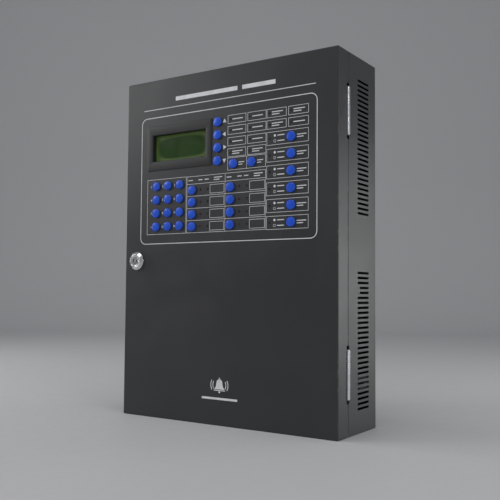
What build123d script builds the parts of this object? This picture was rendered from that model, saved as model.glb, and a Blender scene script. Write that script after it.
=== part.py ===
"""A wall-mounted fire alarm control panel: a vented sheet-steel cabinet with a hinged door.

The frame: the origin is the centre of the cabinet's back face, where it meets the wall. +X is to the
right of someone facing the panel, +Y goes into the wall, and +Z is up. The front faces -Y.
All sizes are in millimetres.
"""

import os

from build123d import *

# ---------------------------------------------------------------- driving sizes
WIDTH = 360.0
HEIGHT = 500.0
DEPTH = 114.0
SHEET = 1.2
BEND_RADIUS = 1.6
DOOR_DEPTH = 27.0
SEAM_GAP = 1.2
FLANGE_WIDTH = 14.0

# the planes that the parts are set out from
LEFT, RIGHT = -WIDTH / 2, WIDTH / 2
BOTTOM, TOP = -HEIGHT / 2, HEIGHT / 2
FRONT = -DEPTH
DOOR_INSIDE = FRONT + SHEET
DOOR_REAR = FRONT + DOOR_DEPTH
CABINET_FRONT = DOOR_REAR + SEAM_GAP
FLANGE_REAR = CABINET_FRONT + SHEET
BACK_INSIDE = -SHEET

# ---------------------------------------------------------------- cabinet details
VENT_LENGTH = 34.0
VENT_HEIGHT = 3.2
VENT_CORNER = 0.8
VENT_PITCH = 6.6
VENT_FROM_END = 32.2
VENT_BANK_GAP = 79.0
VENT_FROM_WALL = 40.5
WALL_HOLE_RADIUS = 3.5
WALL_HOLE_INSET_X = 30.0
WALL_HOLE_INSET_Z = 32.0
KEYHOLE_HEAD_RADIUS = 5.0
KEYHOLE_SLOT_RADIUS = 2.75
KEYHOLE_SLOT_LENGTH = 9.0
KNOCKOUT_RADIUS = 11.0
KNOCKOUT_CUT = 0.8
KNOCKOUT_WEB = 2.5
KNOCKOUT_PITCH = 66.0
KNOCKOUTS = 4
STUD_RADIUS = 2.0
STUD_LENGTH = 10.0
TIE_TAB_WIDTH = 14.0
TIE_TAB_HEIGHT = 12.5
TIE_TAB_LEG = 9.0
TIE_TAB_HOLE_RADIUS = 2.2
TIE_TAB_HOLE_FROM_WALL = 5.4
TIE_TAB_BELOW_MIDDLE = 61.0
TIE_TAB_FROM_FRONT = 52.0

# ---------------------------------------------------------------- hinges
HINGE_LENGTH = 62.0
HINGE_FROM_END = 79.5
HINGE_NOTCH_LENGTH = 74.0
HINGE_NOTCH_DEPTH = 3.0
KNUCKLES = 4
KNUCKLE_WALL = 1.4
KNUCKLE_GAP = 0.2
LEAF_THICKNESS = 1.5
LEAF_REACH = 20.0
HINGE_PIN_RADIUS = 1.4
KNUCKLE_RADIUS = HINGE_PIN_RADIUS + KNUCKLE_WALL
HINGE_PIN_CLEARANCE = 0.05
PIN_HEAD_RADIUS = 2.3
PIN_HEAD_HEIGHT = 1.0

# ---------------------------------------------------------------- keys
KEY_RADIUS = 6.5
KEY_PROUD = 3.2
KEY_CROWN = 0.35
KEY_EDGE_RADIUS = 0.9
KEY_WALL = 1.2
KEY_HOLE_CLEARANCE = 0.3
KEY_FLANGE_OVERLAP = 0.5
KEY_FLANGE_HEIGHT = 1.0
KEY_STEM_RADIUS = 2.3
KEY_TRAVEL = 1.0
RUNNING_GAP = 0.1

# positions of keys and lamps, from the middle of the door's width and from its top edge
KEYPAD_LEFT = -119.6
KEYPAD_DOWN = 161.0
KEYPAD_PITCH_X = 22.0
KEYPAD_PITCH_Z = 20.0
ARROW_X = -8.4
ARROW_DOWN = 77.0
ARROW_PITCH = 18.4
ZONE_KEY_X = (-52.6, 14.2)
ZONE_DOWN = 170.75
ZONE_PITCH = 17.5
ZONE_ROWS = 4
ZONE_LAMP_OFFSETS = (14.4, 27.3)
COMMAND_KEY_X = (18.8, 49.4)
COMMAND_DOWN = 138.7
OUTPUT_KEY_X = 111.7
OUTPUT_LAMP_X = 77.9
OUTPUT_DOWN = 110.25
OUTPUT_PITCH = 22.7
OUTPUT_ROWS = 6
STATUS_LAMP_X = (13.1, 45.3, 77.9, 110.1)
STATUS_LAMP_DOWN = (75.7, 91.2, 107.2, 122.8)
STATUS_ROWS_IN_COLUMN = (4, 4, 2, 2)

# ---------------------------------------------------------------- display and its boards
DISPLAY_X = -78.8
DISPLAY_DOWN = 103.8
WINDOW_WIDTH, WINDOW_HEIGHT = 98.4, 39.0
BEZEL_BORDER_X, BEZEL_BORDER_Z = 10.6, 14.0
BEZEL_WIDTH = WINDOW_WIDTH + 2 * BEZEL_BORDER_X
BEZEL_HEIGHT = WINDOW_HEIGHT + 2 * BEZEL_BORDER_Z
BEZEL_PROUD = 1.0
BEZEL_EDGE = 0.6
BEZEL_WINDOW_CHAMFER = 0.9
BEZEL_TUBE_WALL = 2.0
BEZEL_FIT = 0.3
BOARD_THICKNESS = 1.6
BOARD_STANDOFF = 15.8
DISPLAY_BOARD_HALF_WIDTH = 148.0
DISPLAY_BOARD_TOP_DOWN = 60.0
DISPLAY_BOARD_BOTTOM_DOWN = 238.0
MODULE_BORDER_X, MODULE_BORDER_Z = 12.8, 13.0
MODULE_WIDTH = WINDOW_WIDTH + 2 * MODULE_BORDER_X
MODULE_HEIGHT = WINDOW_HEIGHT + 2 * MODULE_BORDER_Z
MODULE_GAP = 0.5
MODULE_DEPTH = 7.8
MODULE_HOLE_INSET = 3.5
WASHER_RADIUS = 3.0
FRAME_LIP_X, FRAME_LIP_Z = 8.0, 5.7
FRAME_SHOWS = 0.8
FRAME_WIDTH = WINDOW_WIDTH + 2 * (FRAME_LIP_X + FRAME_SHOWS)
FRAME_HEIGHT = WINDOW_HEIGHT + 2 * (FRAME_LIP_Z + FRAME_SHOWS)
FRAME_WALL = 0.6
GLASS_THICKNESS = 2.2
PILLAR_FLATS = 6.0
PILLAR_INSET = 6.0
SCREW_RADIUS = 1.5
SCREW_HEAD_RADIUS = 2.75
SCREW_HEAD_HEIGHT = 2.0
SWITCH_SIDE = 12.0
SWITCH_HEIGHT = 4.3
SWITCH_BOSS_RADIUS = 3.5
SWITCH_BOSS_HEIGHT = 1.5
SWITCH_ENTRY = 1.2
LAMP_RADIUS = 1.5
LAMP_LENGTH = 5.3
LAMP_FLANGE_RADIUS = 1.9
LAMP_FLANGE_HEIGHT = 1.0
LAMP_RECESS = 0.4
LAMP_HOLE_CLEARANCE = 0.15
LAMP_LEG = 0.5
LAMP_LEG_PITCH = 2.54
SOUNDER_X, SOUNDER_DOWN = 62.0, 92.0
SOUNDER_RADIUS = 12.0
SOUNDER_HEIGHT = 9.5
SOUNDER_PORT_RADIUS = 1.6

# ---------------------------------------------------------------- lock
LOCK_INSET = 23.6
LOCK_DOWN = 271.0
LOCK_HEAD_BORDER = 4.0
LOCK_FACE_RADIUS = 8.6
LOCK_HEAD_HEIGHT = 5.5
LOCK_RIM = 1.4
LOCK_BODY_RADIUS = 9.5
LOCK_HEAD_RADIUS = LOCK_BODY_RADIUS + LOCK_HEAD_BORDER
LOCK_HOLE_CLEARANCE = 0.15
LOCK_NUT_WALL = 2.0
LOCK_NUT_HEIGHT = 4.0
LOCK_PLUG_RADIUS = 6.0
LOCK_PLUG_CLEARANCE = 0.05
LOCK_KEYWAY_OUTER, LOCK_KEYWAY_INNER = 4.4, 2.4
LOCK_KEYWAY_DEPTH = 5.0
LOCK_BODY_BEFORE_FLANGE = 0.7
LOCK_TAIL_SIDE = 7.0
CAM_THICKNESS = 2.0
CAM_GAP = 0.8
CAM_WIDTH = 12.0
CAM_REACH = 19.0
CAM_NUT_FLATS = 9.5
CAM_NUT_HEIGHT = 2.5
CAM_NUT_BORE_RADIUS = 2.5

# ---------------------------------------------------------------- inside the cabinet
MAIN_BOARD_WIDTH = 310.0
MAIN_BOARD_FROM_TOP = 45.0
MAIN_BOARD_ABOVE_SUPPLY = 60.8
SPACER_HEIGHT = 12.4
SPACER_FLATS = 6.0
TERMINAL_BLOCKS = 8
TERMINAL_WAYS = 6
TERMINAL_PITCH = 5.08
TERMINAL_BLOCK_PITCH = 36.0
TERMINAL_DEPTH, TERMINAL_HEIGHT = 11.0, 12.5
TERMINAL_FROM_EDGE = 2.0
TERMINAL_CHAMFER = 2.0
TERMINAL_WELL_RADIUS, TERMINAL_SCREW_RADIUS = 1.9, 1.7
TERMINAL_SCREW_DROP = 1.0
TERMINAL_ENTRY_WIDTH, TERMINAL_ENTRY_DEPTH = 3.2, 4.0
TERMINAL_FLOOR = 1.2
RELAYS = 6
RELAY_SIZE = (19.0, 15.4, 15.4)
RELAY_PITCH = 25.0
RELAY_FROM_EDGE = 30.0
SUPPLY_WIDTH, SUPPLY_HEIGHT, SUPPLY_DEPTH = 160.0, 98.0, 38.0
SUPPLY_LUG = 11.0
SUPPLY_SHEET = 1.0
SUPPLY_ABOVE_BATTERIES = 26.0
SUPPLY_STRIP = 18.0
SUPPLY_HOLE_RADIUS, SUPPLY_HOLE_PITCH = 2.2, 8.0
SUPPLY_BOARD_GAP = 4.4
SUPPLY_FOOT_SIDE, SUPPLY_FOOT_INSET = 5.0, 10.0
SUPPLY_BOARD_MARGIN, SUPPLY_BOARD_END = 2.5, 0.5
CORE_FROM_LEFT, CORE_SIZE = 65.0, (35.0, 24.0, 34.0)
WINDING_SIZE = (23.0, 2.0, 26.0)
SINK_FROM_LEFT, SINK_SIZE = 105.0, (5.0, 26.0, 74.0)
CAPACITOR_FROM_LEFT, CAPACITOR_PITCH = 34.0, 40.0
CAPACITOR_RADIUS, CAPACITOR_HEIGHT = 9.0, 25.0
STRIP_WAYS = 7
STRIP_SIZE = (15.0, 12.0, 86.0)
STRIP_FROM_END = 1.0
STRIP_BARRIER, STRIP_POCKET_DEPTH = 1.5, 5.0
STRIP_POCKET_HEIGHT = 9.2
STRIP_SCREW_RADIUS, STRIP_SCREW_HEIGHT = 3.2, 2.5
BATTERY_LENGTH, BATTERY_DEPTH, BATTERY_HEIGHT = 151.0, 65.0, 94.0
BATTERY_GAP = 7.0
BATTERY_BEHIND = 2.0
BATTERY_CORNER = 2.5
BATTERY_LID_HEIGHT, BATTERY_LID_INSET, BATTERY_LID_EDGE = 9.0, 1.0, 1.5
BATTERY_TAB = (6.3, 0.8, 6.0)
BATTERY_TAB_FROM_END, BATTERY_TAB_FROM_FRONT = 10.0, 12.0
STRAP_THICKNESS, STRAP_WIDTH = 1.5, 20.0
STRAP_FIT = 0.3
STRAP_FOOT = 13.0
STRAP_UP_BATTERY = 58.0
NUT_FLATS, NUT_HEIGHT = 7.0, 3.2
NUT_CLEARANCE = 0.05
MAINS_BLOCK_SIZE = (62.0, 20.0, 24.0)
MAINS_BLOCK_GAP = 34.0
MAINS_WAYS = 5
MAINS_CHAMFER = 3.0
MAINS_WELL_RADIUS, MAINS_WELL_DEPTH = 3.4, 9.0
MAINS_SCREW_RADIUS, MAINS_SCREW_HEIGHT = 3.0, 3.0
FUSE_CAP_RADIUS, FUSE_CAP_HEIGHT, FUSE_CAP_EDGE = 5.5, 9.0, 0.8
FUSE_WELL_RADIUS, FUSE_WELL_DEPTH = 4.5, 16.0
FUSE_RADIUS, FUSE_DEPTH = 4.3, 15.0

CENTRED = (Align.CENTER, Align.CENTER, Align.MIN)


# ---------------------------------------------------------------- small builders
def block(x_range, y_range, z_range):
    """A plain rectangular solid between three pairs of limits."""
    size = [high - low for low, high in (x_range, y_range, z_range)]
    middle = [(high + low) / 2 for low, high in (x_range, y_range, z_range)]
    return Pos(*middle) * Box(*size)


def standing(x_left, seat, z_middle, size):
    """A block that stands on the plane y = seat and reaches forward; size is along X, Y and Z."""
    half = size[2] / 2
    return block((x_left, x_left + size[0]), (seat - size[1], seat), (z_middle - half, z_middle + half))


def facing(x, y, z):
    """A location whose own +Z points to -Y, out of the front of the panel."""
    return Pos(x, y, z) * Rot(X=90)


def rod(x, z, radius, y_near, y_far):
    """A round bar along Y, from y_near at the front to y_far at the back."""
    return facing(x, y_far, z) * Cylinder(radius, y_far - y_near, align=CENTRED)


def hex_bar(x, z, flats, y_near, y_far):
    """A hexagonal bar along Y, flats apart across its flats."""
    outline = RegularPolygon(flats / 2, 6, major_radius=False)
    return facing(x, y_far, z) * extrude(outline, y_far - y_near)


def write(name, *solids):
    """Writes one node, made of one or more separate solids."""
    shape = solids[0] if len(solids) == 1 else Compound(children=list(solids))
    export_step(shape, os.path.join("parts", name + ".step"))


def down(distance):
    """The height of something measured down from the door's top edge."""
    return TOP - distance


# ---------------------------------------------------------------- where keys and lamps go
def key_places():
    """Each key's name with its X and Z."""
    places = {}
    for number, name in enumerate("1 2 3 4 5 6 7 8 9 star 0 hash".split()):
        row, column = divmod(number, 3)
        x = KEYPAD_LEFT + column * KEYPAD_PITCH_X
        places["number_key_" + name] = (x, down(KEYPAD_DOWN + row * KEYPAD_PITCH_Z))
    for row, name in enumerate("up left right down".split()):
        places["arrow_key_" + name] = (ARROW_X, down(ARROW_DOWN + row * ARROW_PITCH))
    for column, x in enumerate(ZONE_KEY_X):
        for row in range(ZONE_ROWS):
            number = column * ZONE_ROWS + row + 1
            places[f"zone_key_{number}"] = (x, down(ZONE_DOWN + row * ZONE_PITCH))
    for name, x in zip(("lamp_test_key", "reset_key"), COMMAND_KEY_X):
        places[name] = (x, down(COMMAND_DOWN))
    for row in range(OUTPUT_ROWS):
        places[f"output_key_{row + 1}"] = (OUTPUT_KEY_X, down(OUTPUT_DOWN + row * OUTPUT_PITCH))
    return places


def lamp_places():
    """The X and Z of every indicator lamp."""
    places = []
    for x, rows in zip(STATUS_LAMP_X, STATUS_ROWS_IN_COLUMN):
        places += [(x, down(distance)) for distance in STATUS_LAMP_DOWN[:rows]]
    for key_x in ZONE_KEY_X:
        for offset in ZONE_LAMP_OFFSETS:
            for row in range(ZONE_ROWS):
                places.append((key_x + offset, down(ZONE_DOWN + row * ZONE_PITCH)))
    for row in range(OUTPUT_ROWS):
        places.append((OUTPUT_LAMP_X, down(OUTPUT_DOWN + row * OUTPUT_PITCH)))
    return places


KEYS = key_places()
LAMPS = lamp_places()
LOCK_X, LOCK_Z = LEFT + LOCK_INSET, down(LOCK_DOWN)
DISPLAY_Z = down(DISPLAY_DOWN)
BOARD_FRONT = DOOR_INSIDE + BOARD_STANDOFF
BOARD_REAR = BOARD_FRONT + BOARD_THICKNESS
HINGE_Y = (DOOR_REAR + CABINET_FRONT) / 2
HINGE_MIDDLES = (TOP - HINGE_FROM_END, BOTTOM + HINGE_FROM_END)
FLOOR = BOTTOM + SHEET
BATTERY_TOP = FLOOR + BATTERY_HEIGHT
BATTERY_BACK = BACK_INSIDE - BATTERY_BEHIND
BATTERY_FRONT = BATTERY_BACK - BATTERY_DEPTH
BATTERY_OUTER = BATTERY_LENGTH + BATTERY_GAP / 2
STRAP_Z = FLOOR + STRAP_UP_BATTERY
STRAP_INSIDE = BATTERY_OUTER + STRAP_FIT
STRAP_STUD_X = STRAP_INSIDE + STRAP_THICKNESS + STRAP_FOOT / 2
MAIN_BOARD_TOP = TOP - MAIN_BOARD_FROM_TOP
MAIN_BOARD_BACK = BACK_INSIDE - SPACER_HEIGHT
MAIN_BOARD_FRONT = MAIN_BOARD_BACK - BOARD_THICKNESS
SUPPLY_LEFT = -SUPPLY_WIDTH
SUPPLY_RIGHT = 0.0
SUPPLY_BOTTOM = BATTERY_TOP + SUPPLY_ABOVE_BATTERIES
SUPPLY_TOP = SUPPLY_BOTTOM + SUPPLY_HEIGHT
SUPPLY_MIDDLE = (SUPPLY_BOTTOM + SUPPLY_TOP) / 2
MAIN_BOARD_BOTTOM = SUPPLY_TOP + MAIN_BOARD_ABOVE_SUPPLY
SUPPLY_FRONT = BACK_INSIDE - SUPPLY_DEPTH
MAINS_X = SUPPLY_RIGHT + MAINS_BLOCK_GAP + MAINS_BLOCK_SIZE[0] / 2
MAINS_Z = SUPPLY_TOP - MAINS_BLOCK_SIZE[1] / 2


def supply_stud_places():
    """The studs under the power supply's four lugs."""
    inset = 12.0
    x_places = (SUPPLY_LEFT - SUPPLY_LUG / 2, SUPPLY_RIGHT + SUPPLY_LUG / 2)
    return [(x, z) for x in x_places for z in (SUPPLY_BOTTOM + inset, SUPPLY_TOP - inset)]


def stud_places():
    """Every weld stud that a nut goes on: strap feet, power supply lugs and the earth point."""
    earth = (MAINS_X + MAINS_BLOCK_SIZE[0], MAINS_Z)
    straps = [(side * STRAP_STUD_X, STRAP_Z) for side in (-1, 1)]
    return straps + supply_stud_places() + [earth]


def spacer_places():
    """The main board's eight fixings, along its top and bottom edges."""
    inset = 6.0
    half = MAIN_BOARD_WIDTH / 2 - inset
    heights = (MAIN_BOARD_BOTTOM + inset, MAIN_BOARD_TOP - TERMINAL_DEPTH - 2 * inset)
    return [(half * step, z) for step in (-1, -1 / 3, 1 / 3, 1) for z in heights]


def module_hole_places():
    """The display module's four corner fixings."""
    half_x = MODULE_WIDTH / 2 - MODULE_HOLE_INSET
    half_z = MODULE_HEIGHT / 2 - MODULE_HOLE_INSET
    return [(DISPLAY_X + i * half_x, DISPLAY_Z + k * half_z) for i in (-1, 1) for k in (-1, 1)]


def pillar_places():
    """The six pillars that hold the display board on the back of the door."""
    half = DISPLAY_BOARD_HALF_WIDTH - PILLAR_INSET
    heights = (down(DISPLAY_BOARD_TOP_DOWN + PILLAR_INSET), down(DISPLAY_BOARD_BOTTOM_DOWN - PILLAR_INSET))
    return [(x, z) for x in (-half, 0.0, half) for z in heights]


# ---------------------------------------------------------------- cabinet
def vents(side):
    """Two banks of slots through one side wall, one above the other."""
    pitch = VENT_PITCH
    gaps = int((HEIGHT - 2 * VENT_FROM_END - VENT_BANK_GAP) / 2 / pitch)
    bank = gaps * pitch
    slot = RectangleRounded(VENT_LENGTH, VENT_HEIGHT, VENT_CORNER)
    wall = Pos(side * WIDTH / 2, -VENT_FROM_WALL, 0) * Rot(Y=90) * Rot(Z=90)
    heights = []
    for first in (TOP - VENT_FROM_END, BOTTOM + VENT_FROM_END + bank):
        heights += [first - number * pitch for number in range(gaps + 1)]
    tool = extrude(slot, 2 * SHEET, both=True)
    return [wall * Pos(0, z, 0) * tool for z in heights]


def knockout_cut(x):
    """The sheared ring of one conduit knockout in the top, bridged by two webs that hold the blank."""
    centre = Pos(x, (CABINET_FRONT + BACK_INSIDE) / 2, TOP - SHEET / 2)
    ring = Cylinder(KNOCKOUT_RADIUS, 2 * SHEET) - Cylinder(KNOCKOUT_RADIUS - KNOCKOUT_CUT, 2 * SHEET)
    webs = Box(KNOCKOUT_WEB, 3 * KNOCKOUT_RADIUS, 2 * SHEET)
    return centre * (ring - webs)


def keyhole():
    """A hanging keyhole in the middle of the back: a round hole for the screw's head with a slot above."""
    z = TOP - WALL_HOLE_INSET_Z
    head = rod(0, z, KEYHOLE_HEAD_RADIUS, -2 * SHEET, SHEET)
    tip = rod(0, z + KEYHOLE_SLOT_LENGTH, KEYHOLE_SLOT_RADIUS, -2 * SHEET, SHEET)
    half = KEYHOLE_SLOT_RADIUS
    return head + tip + block((-half, half), (-2 * SHEET, SHEET), (z, z + KEYHOLE_SLOT_LENGTH))


def hinge_notches(y_range):
    """Room for the hinge knuckles in the right-hand edge of a wall."""
    reach = KNUCKLE_RADIUS + SHEET
    half = HINGE_NOTCH_LENGTH / 2
    return [block((RIGHT - reach, RIGHT + reach), y_range, (z - half, z + half)) for z in HINGE_MIDDLES]


def tie_tab():
    """A small folded tab spot-welded inside the right wall, with a hole for a cable tie."""
    wall = RIGHT - SHEET
    near = FRONT + TIE_TAB_FROM_FRONT
    z_range = (-TIE_TAB_BELOW_MIDDLE - TIE_TAB_HEIGHT / 2, -TIE_TAB_BELOW_MIDDLE + TIE_TAB_HEIGHT / 2)
    foot = block((wall - SHEET, wall), (near, near + TIE_TAB_WIDTH), z_range)
    leg = block((wall - TIE_TAB_LEG, wall), (near, near + SHEET), z_range)
    hole_x = wall - TIE_TAB_HOLE_FROM_WALL
    hole = rod(hole_x, -TIE_TAB_BELOW_MIDDLE, TIE_TAB_HOLE_RADIUS, near - 1, near + 2 * SHEET)
    return foot + leg - hole


def wall_hole_places():
    """The four holes for the wall screws."""
    x, z = WIDTH / 2 - WALL_HOLE_INSET_X, HEIGHT / 2 - WALL_HOLE_INSET_Z
    return [(i * x, k * z) for i in (-1, 1) for k in (-1, 1)]


def make_cabinet_body():
    """The folded and welded tray: back, four sides and a flange round the front."""
    shell = block((LEFT, RIGHT), (CABINET_FRONT, 0), (BOTTOM, TOP))
    shell = fillet(shell.edges(), BEND_RADIUS)
    hollow = block(
        (LEFT + SHEET, RIGHT - SHEET), (FLANGE_REAR, BACK_INSIDE), (BOTTOM + SHEET, TOP - SHEET)
    )
    mouth = block(
        (LEFT + FLANGE_WIDTH, RIGHT - FLANGE_WIDTH),
        (CABINET_FRONT - 1, FLANGE_REAR + 1),
        (BOTTOM + FLANGE_WIDTH, TOP - FLANGE_WIDTH),
    )
    body = shell - hollow - mouth
    body -= vents(-1) + vents(1)
    body -= hinge_notches((CABINET_FRONT - 1, CABINET_FRONT + HINGE_NOTCH_DEPTH))
    body -= [rod(x, z, WALL_HOLE_RADIUS, -2 * SHEET, SHEET) for x, z in wall_hole_places()]
    body -= keyhole()
    first = -KNOCKOUT_PITCH * (KNOCKOUTS - 1) / 2
    body -= [knockout_cut(first + number * KNOCKOUT_PITCH) for number in range(KNOCKOUTS)]
    studs = [rod(x, z, STUD_RADIUS, BACK_INSIDE - STUD_LENGTH, BACK_INSIDE) for x, z in stud_places()]
    return body + studs + tie_tab()


# ---------------------------------------------------------------- hinges
def knuckle_spans(middle, first):
    """The Z limits of every other knuckle of one hinge, starting with knuckle number first."""
    pitch = HINGE_LENGTH / KNUCKLES
    low = middle - HINGE_LENGTH / 2
    half_gap = KNUCKLE_GAP / 2
    numbers = range(first, KNUCKLES, 2)
    return [(low + n * pitch + half_gap, low + (n + 1) * pitch - half_gap) for n in numbers]


def leaf(middle, first, toward, bore_radius):
    """One hinge leaf: a plate against the wall's inside, its fingers, and knuckles rolled round the pin."""
    x_range = (RIGHT - SHEET - LEAF_THICKNESS, RIGHT - SHEET)
    half = HINGE_LENGTH / 2
    edge = (DOOR_REAR - HINGE_NOTCH_DEPTH) if toward < 0 else (CABINET_FRONT + HINGE_NOTCH_DEPTH)
    far = edge + toward * LEAF_REACH
    shape = block(x_range, (min(edge, far), max(edge, far)), (middle - half, middle + half))
    for low, high in knuckle_spans(middle, first):
        shape += block(x_range, (min(edge, HINGE_Y), max(edge, HINGE_Y)), (low, high))
        shape += Pos(RIGHT, HINGE_Y, low) * Cylinder(KNUCKLE_RADIUS, high - low, align=CENTRED)
    low = middle - half
    return shape - Pos(RIGHT, HINGE_Y, low) * Cylinder(bore_radius, HINGE_LENGTH, align=CENTRED)


def hinge_pin(middle):
    """A hinge pin with a rounded head at each end."""
    half = HINGE_LENGTH / 2
    bottom = Pos(RIGHT, HINGE_Y, middle - half)
    pin = bottom * Cylinder(HINGE_PIN_RADIUS, HINGE_LENGTH, align=CENTRED)
    head = Cylinder(PIN_HEAD_RADIUS, PIN_HEAD_HEIGHT, align=CENTRED)
    head = fillet(head.edges().group_by(Axis.Z)[-1], PIN_HEAD_HEIGHT / 2)
    upper = Pos(RIGHT, HINGE_Y, middle + half) * head
    lower = bottom * Rot(X=180) * head
    return pin + upper + lower


# ---------------------------------------------------------------- door
def display_cut(width, height, y_range):
    """A rectangular tool centred on the display."""
    return block(
        (DISPLAY_X - width / 2, DISPLAY_X + width / 2),
        y_range,
        (DISPLAY_Z - height / 2, DISPLAY_Z + height / 2),
    )


def make_door_panel():
    """The door: a tray folded back on all four sides, pierced for keys, lamps, display and lock."""
    shell = block((LEFT, RIGHT), (FRONT, DOOR_REAR), (BOTTOM, TOP))
    shell = fillet(shell.edges() - shell.faces().sort_by(Axis.Y)[-1].edges(), BEND_RADIUS)
    hollow = block(
        (LEFT + SHEET, RIGHT - SHEET), (DOOR_INSIDE, DOOR_REAR + 1), (BOTTOM + SHEET, TOP - SHEET)
    )
    through = (FRONT - 1, DOOR_INSIDE + 1)
    key_hole = KEY_RADIUS + KEY_HOLE_CLEARANCE
    lamp_hole = LAMP_RADIUS + LAMP_HOLE_CLEARANCE
    cuts = [rod(x, z, key_hole, *through) for x, z in KEYS.values()]
    cuts += [rod(x, z, lamp_hole, *through) for x, z in LAMPS]
    cuts.append(rod(LOCK_X, LOCK_Z, LOCK_BODY_RADIUS + LOCK_HOLE_CLEARANCE, *through))
    tube = 2 * (BEZEL_TUBE_WALL + BEZEL_FIT)
    cuts.append(display_cut(WINDOW_WIDTH + tube, WINDOW_HEIGHT + tube, through))
    door = shell - hollow - cuts
    return door - hinge_notches((DOOR_REAR - HINGE_NOTCH_DEPTH, DOOR_REAR + 1))


def make_key():
    """One key cap about its own axis: crowned top, hollow skirt, retaining flange and a central stem.

    Its front is at +Z, and Z = 0 is the front face of the door.
    """
    shoulder = KEY_PROUD - KEY_CROWN
    flange_front = -(SHEET + RUNNING_GAP)
    flange_rear = flange_front - KEY_FLANGE_HEIGHT
    flange_radius = KEY_RADIUS + KEY_HOLE_CLEARANCE + KEY_FLANGE_OVERLAP
    roof = shoulder - KEY_WALL
    inner_radius = KEY_RADIUS - KEY_WALL
    stem_end = -(SHEET + BOARD_STANDOFF - SWITCH_HEIGHT - SWITCH_BOSS_HEIGHT + SWITCH_ENTRY)
    crown = ThreePointArc((KEY_RADIUS, shoulder), (0, KEY_PROUD), (-KEY_RADIUS, shoulder))
    half_crown = crown.trim(0, 0.5)
    outline = Polyline(
        half_crown @ 1,
        (0, stem_end),
        (KEY_STEM_RADIUS, stem_end),
        (KEY_STEM_RADIUS, roof),
        (inner_radius, roof),
        (inner_radius, flange_rear),
        (flange_radius, flange_rear),
        (flange_radius, flange_front),
        (KEY_RADIUS, flange_front),
        half_crown @ 0,
    )
    key = revolve(Plane.XZ * make_face([half_crown, outline]), Axis.Z)
    rim = key.edges().filter_by(GeomType.CIRCLE).filter_by_position(Axis.Z, shoulder - 0.01, shoulder + 0.01)
    return fillet(rim, KEY_EDGE_RADIUS)


def make_switch(x, z):
    """A square tactile switch on the display board, with a round boss that guides the key's stem."""
    half = SWITCH_SIDE / 2
    face = BOARD_FRONT - SWITCH_HEIGHT
    body = block((x - half, x + half), (face, BOARD_FRONT), (z - half, z + half))
    body += rod(x, z, SWITCH_BOSS_RADIUS, face - SWITCH_BOSS_HEIGHT, face)
    depth = SWITCH_ENTRY + KEY_TRAVEL + RUNNING_GAP
    start = face - SWITCH_BOSS_HEIGHT
    return body - rod(x, z, KEY_STEM_RADIUS + RUNNING_GAP, start, start + depth)


def make_lamp(x, z):
    """A 3 mm indicator lamp on two legs: domed lens, base flange and leads down to the board."""
    tip = FRONT + LAMP_RECESS
    base = tip + LAMP_LENGTH
    lens = rod(x, z, LAMP_RADIUS, tip + LAMP_RADIUS, base)
    lens += Pos(x, tip + LAMP_RADIUS, z) * Sphere(LAMP_RADIUS)
    lamp = lens + rod(x, z, LAMP_FLANGE_RADIUS, base - LAMP_FLANGE_HEIGHT, base)
    for side in (-1, 1):
        leg_x = x + side * LAMP_LEG_PITCH / 2
        half = LAMP_LEG / 2
        lamp += block((leg_x - half, leg_x + half), (base, BOARD_FRONT), (z - half, z + half))
    return lamp


def make_lcd_bezel():
    """A raised frame round the display, with a deep window that reaches back to the glass."""
    plate = display_cut(BEZEL_WIDTH, BEZEL_HEIGHT, (FRONT - BEZEL_PROUD, FRONT))
    plate = chamfer(plate.faces().sort_by(Axis.Y)[0].edges(), BEZEL_EDGE)
    module_front = BOARD_FRONT - MODULE_GAP - BOARD_THICKNESS - MODULE_DEPTH
    tube_wall = 2 * BEZEL_TUBE_WALL
    tube = display_cut(
        WINDOW_WIDTH + tube_wall, WINDOW_HEIGHT + tube_wall, (FRONT, module_front - RUNNING_GAP)
    )
    window = display_cut(WINDOW_WIDTH, WINDOW_HEIGHT, (FRONT - BEZEL_PROUD - 1, BOARD_FRONT))
    bezel = plate + tube - window
    front = bezel.faces().sort_by(Axis.Y)[0]
    return chamfer(front.inner_wires()[0].edges(), BEZEL_WINDOW_CHAMFER)


def make_lcd_module():
    """The display module behind the bezel: its board, metal frame and backlight, and then its glass."""
    board_rear = BOARD_FRONT - MODULE_GAP
    board_front = board_rear - BOARD_THICKNESS
    frame_front = board_front - MODULE_DEPTH
    board = display_cut(MODULE_WIDTH, MODULE_HEIGHT, (board_front, board_rear))
    board -= [rod(x, z, SCREW_RADIUS, board_front - 1, board_rear + 1) for x, z in module_hole_places()]
    frame = display_cut(FRAME_WIDTH, FRAME_HEIGHT, (frame_front, board_front))
    inner_width, inner_height = FRAME_WIDTH - 2 * FRAME_WALL, FRAME_HEIGHT - 2 * FRAME_WALL
    frame -= display_cut(inner_width, inner_height, (frame_front + FRAME_WALL, board_front))
    frame -= display_cut(
        FRAME_WIDTH - 2 * FRAME_LIP_X, FRAME_HEIGHT - 2 * FRAME_LIP_Z, (frame_front - 1, board_front)
    )
    glass_front = frame_front + FRAME_WALL
    glass = display_cut(inner_width, inner_height, (glass_front, glass_front + GLASS_THICKNESS))
    light = display_cut(inner_width, inner_height, (glass_front + GLASS_THICKNESS, board_front))
    return (board, frame, light), glass


def make_display_board():
    """The printed board that carries the switches, lamps and display on the back of the door."""
    board = block(
        (-DISPLAY_BOARD_HALF_WIDTH, DISPLAY_BOARD_HALF_WIDTH),
        (BOARD_FRONT, BOARD_REAR),
        (down(DISPLAY_BOARD_BOTTOM_DOWN), down(DISPLAY_BOARD_TOP_DOWN)),
    )
    holes = pillar_places() + module_hole_places()
    return board - [rod(x, z, SCREW_RADIUS, BOARD_FRONT - 1, BOARD_REAR + 1) for x, z in holes]


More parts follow.
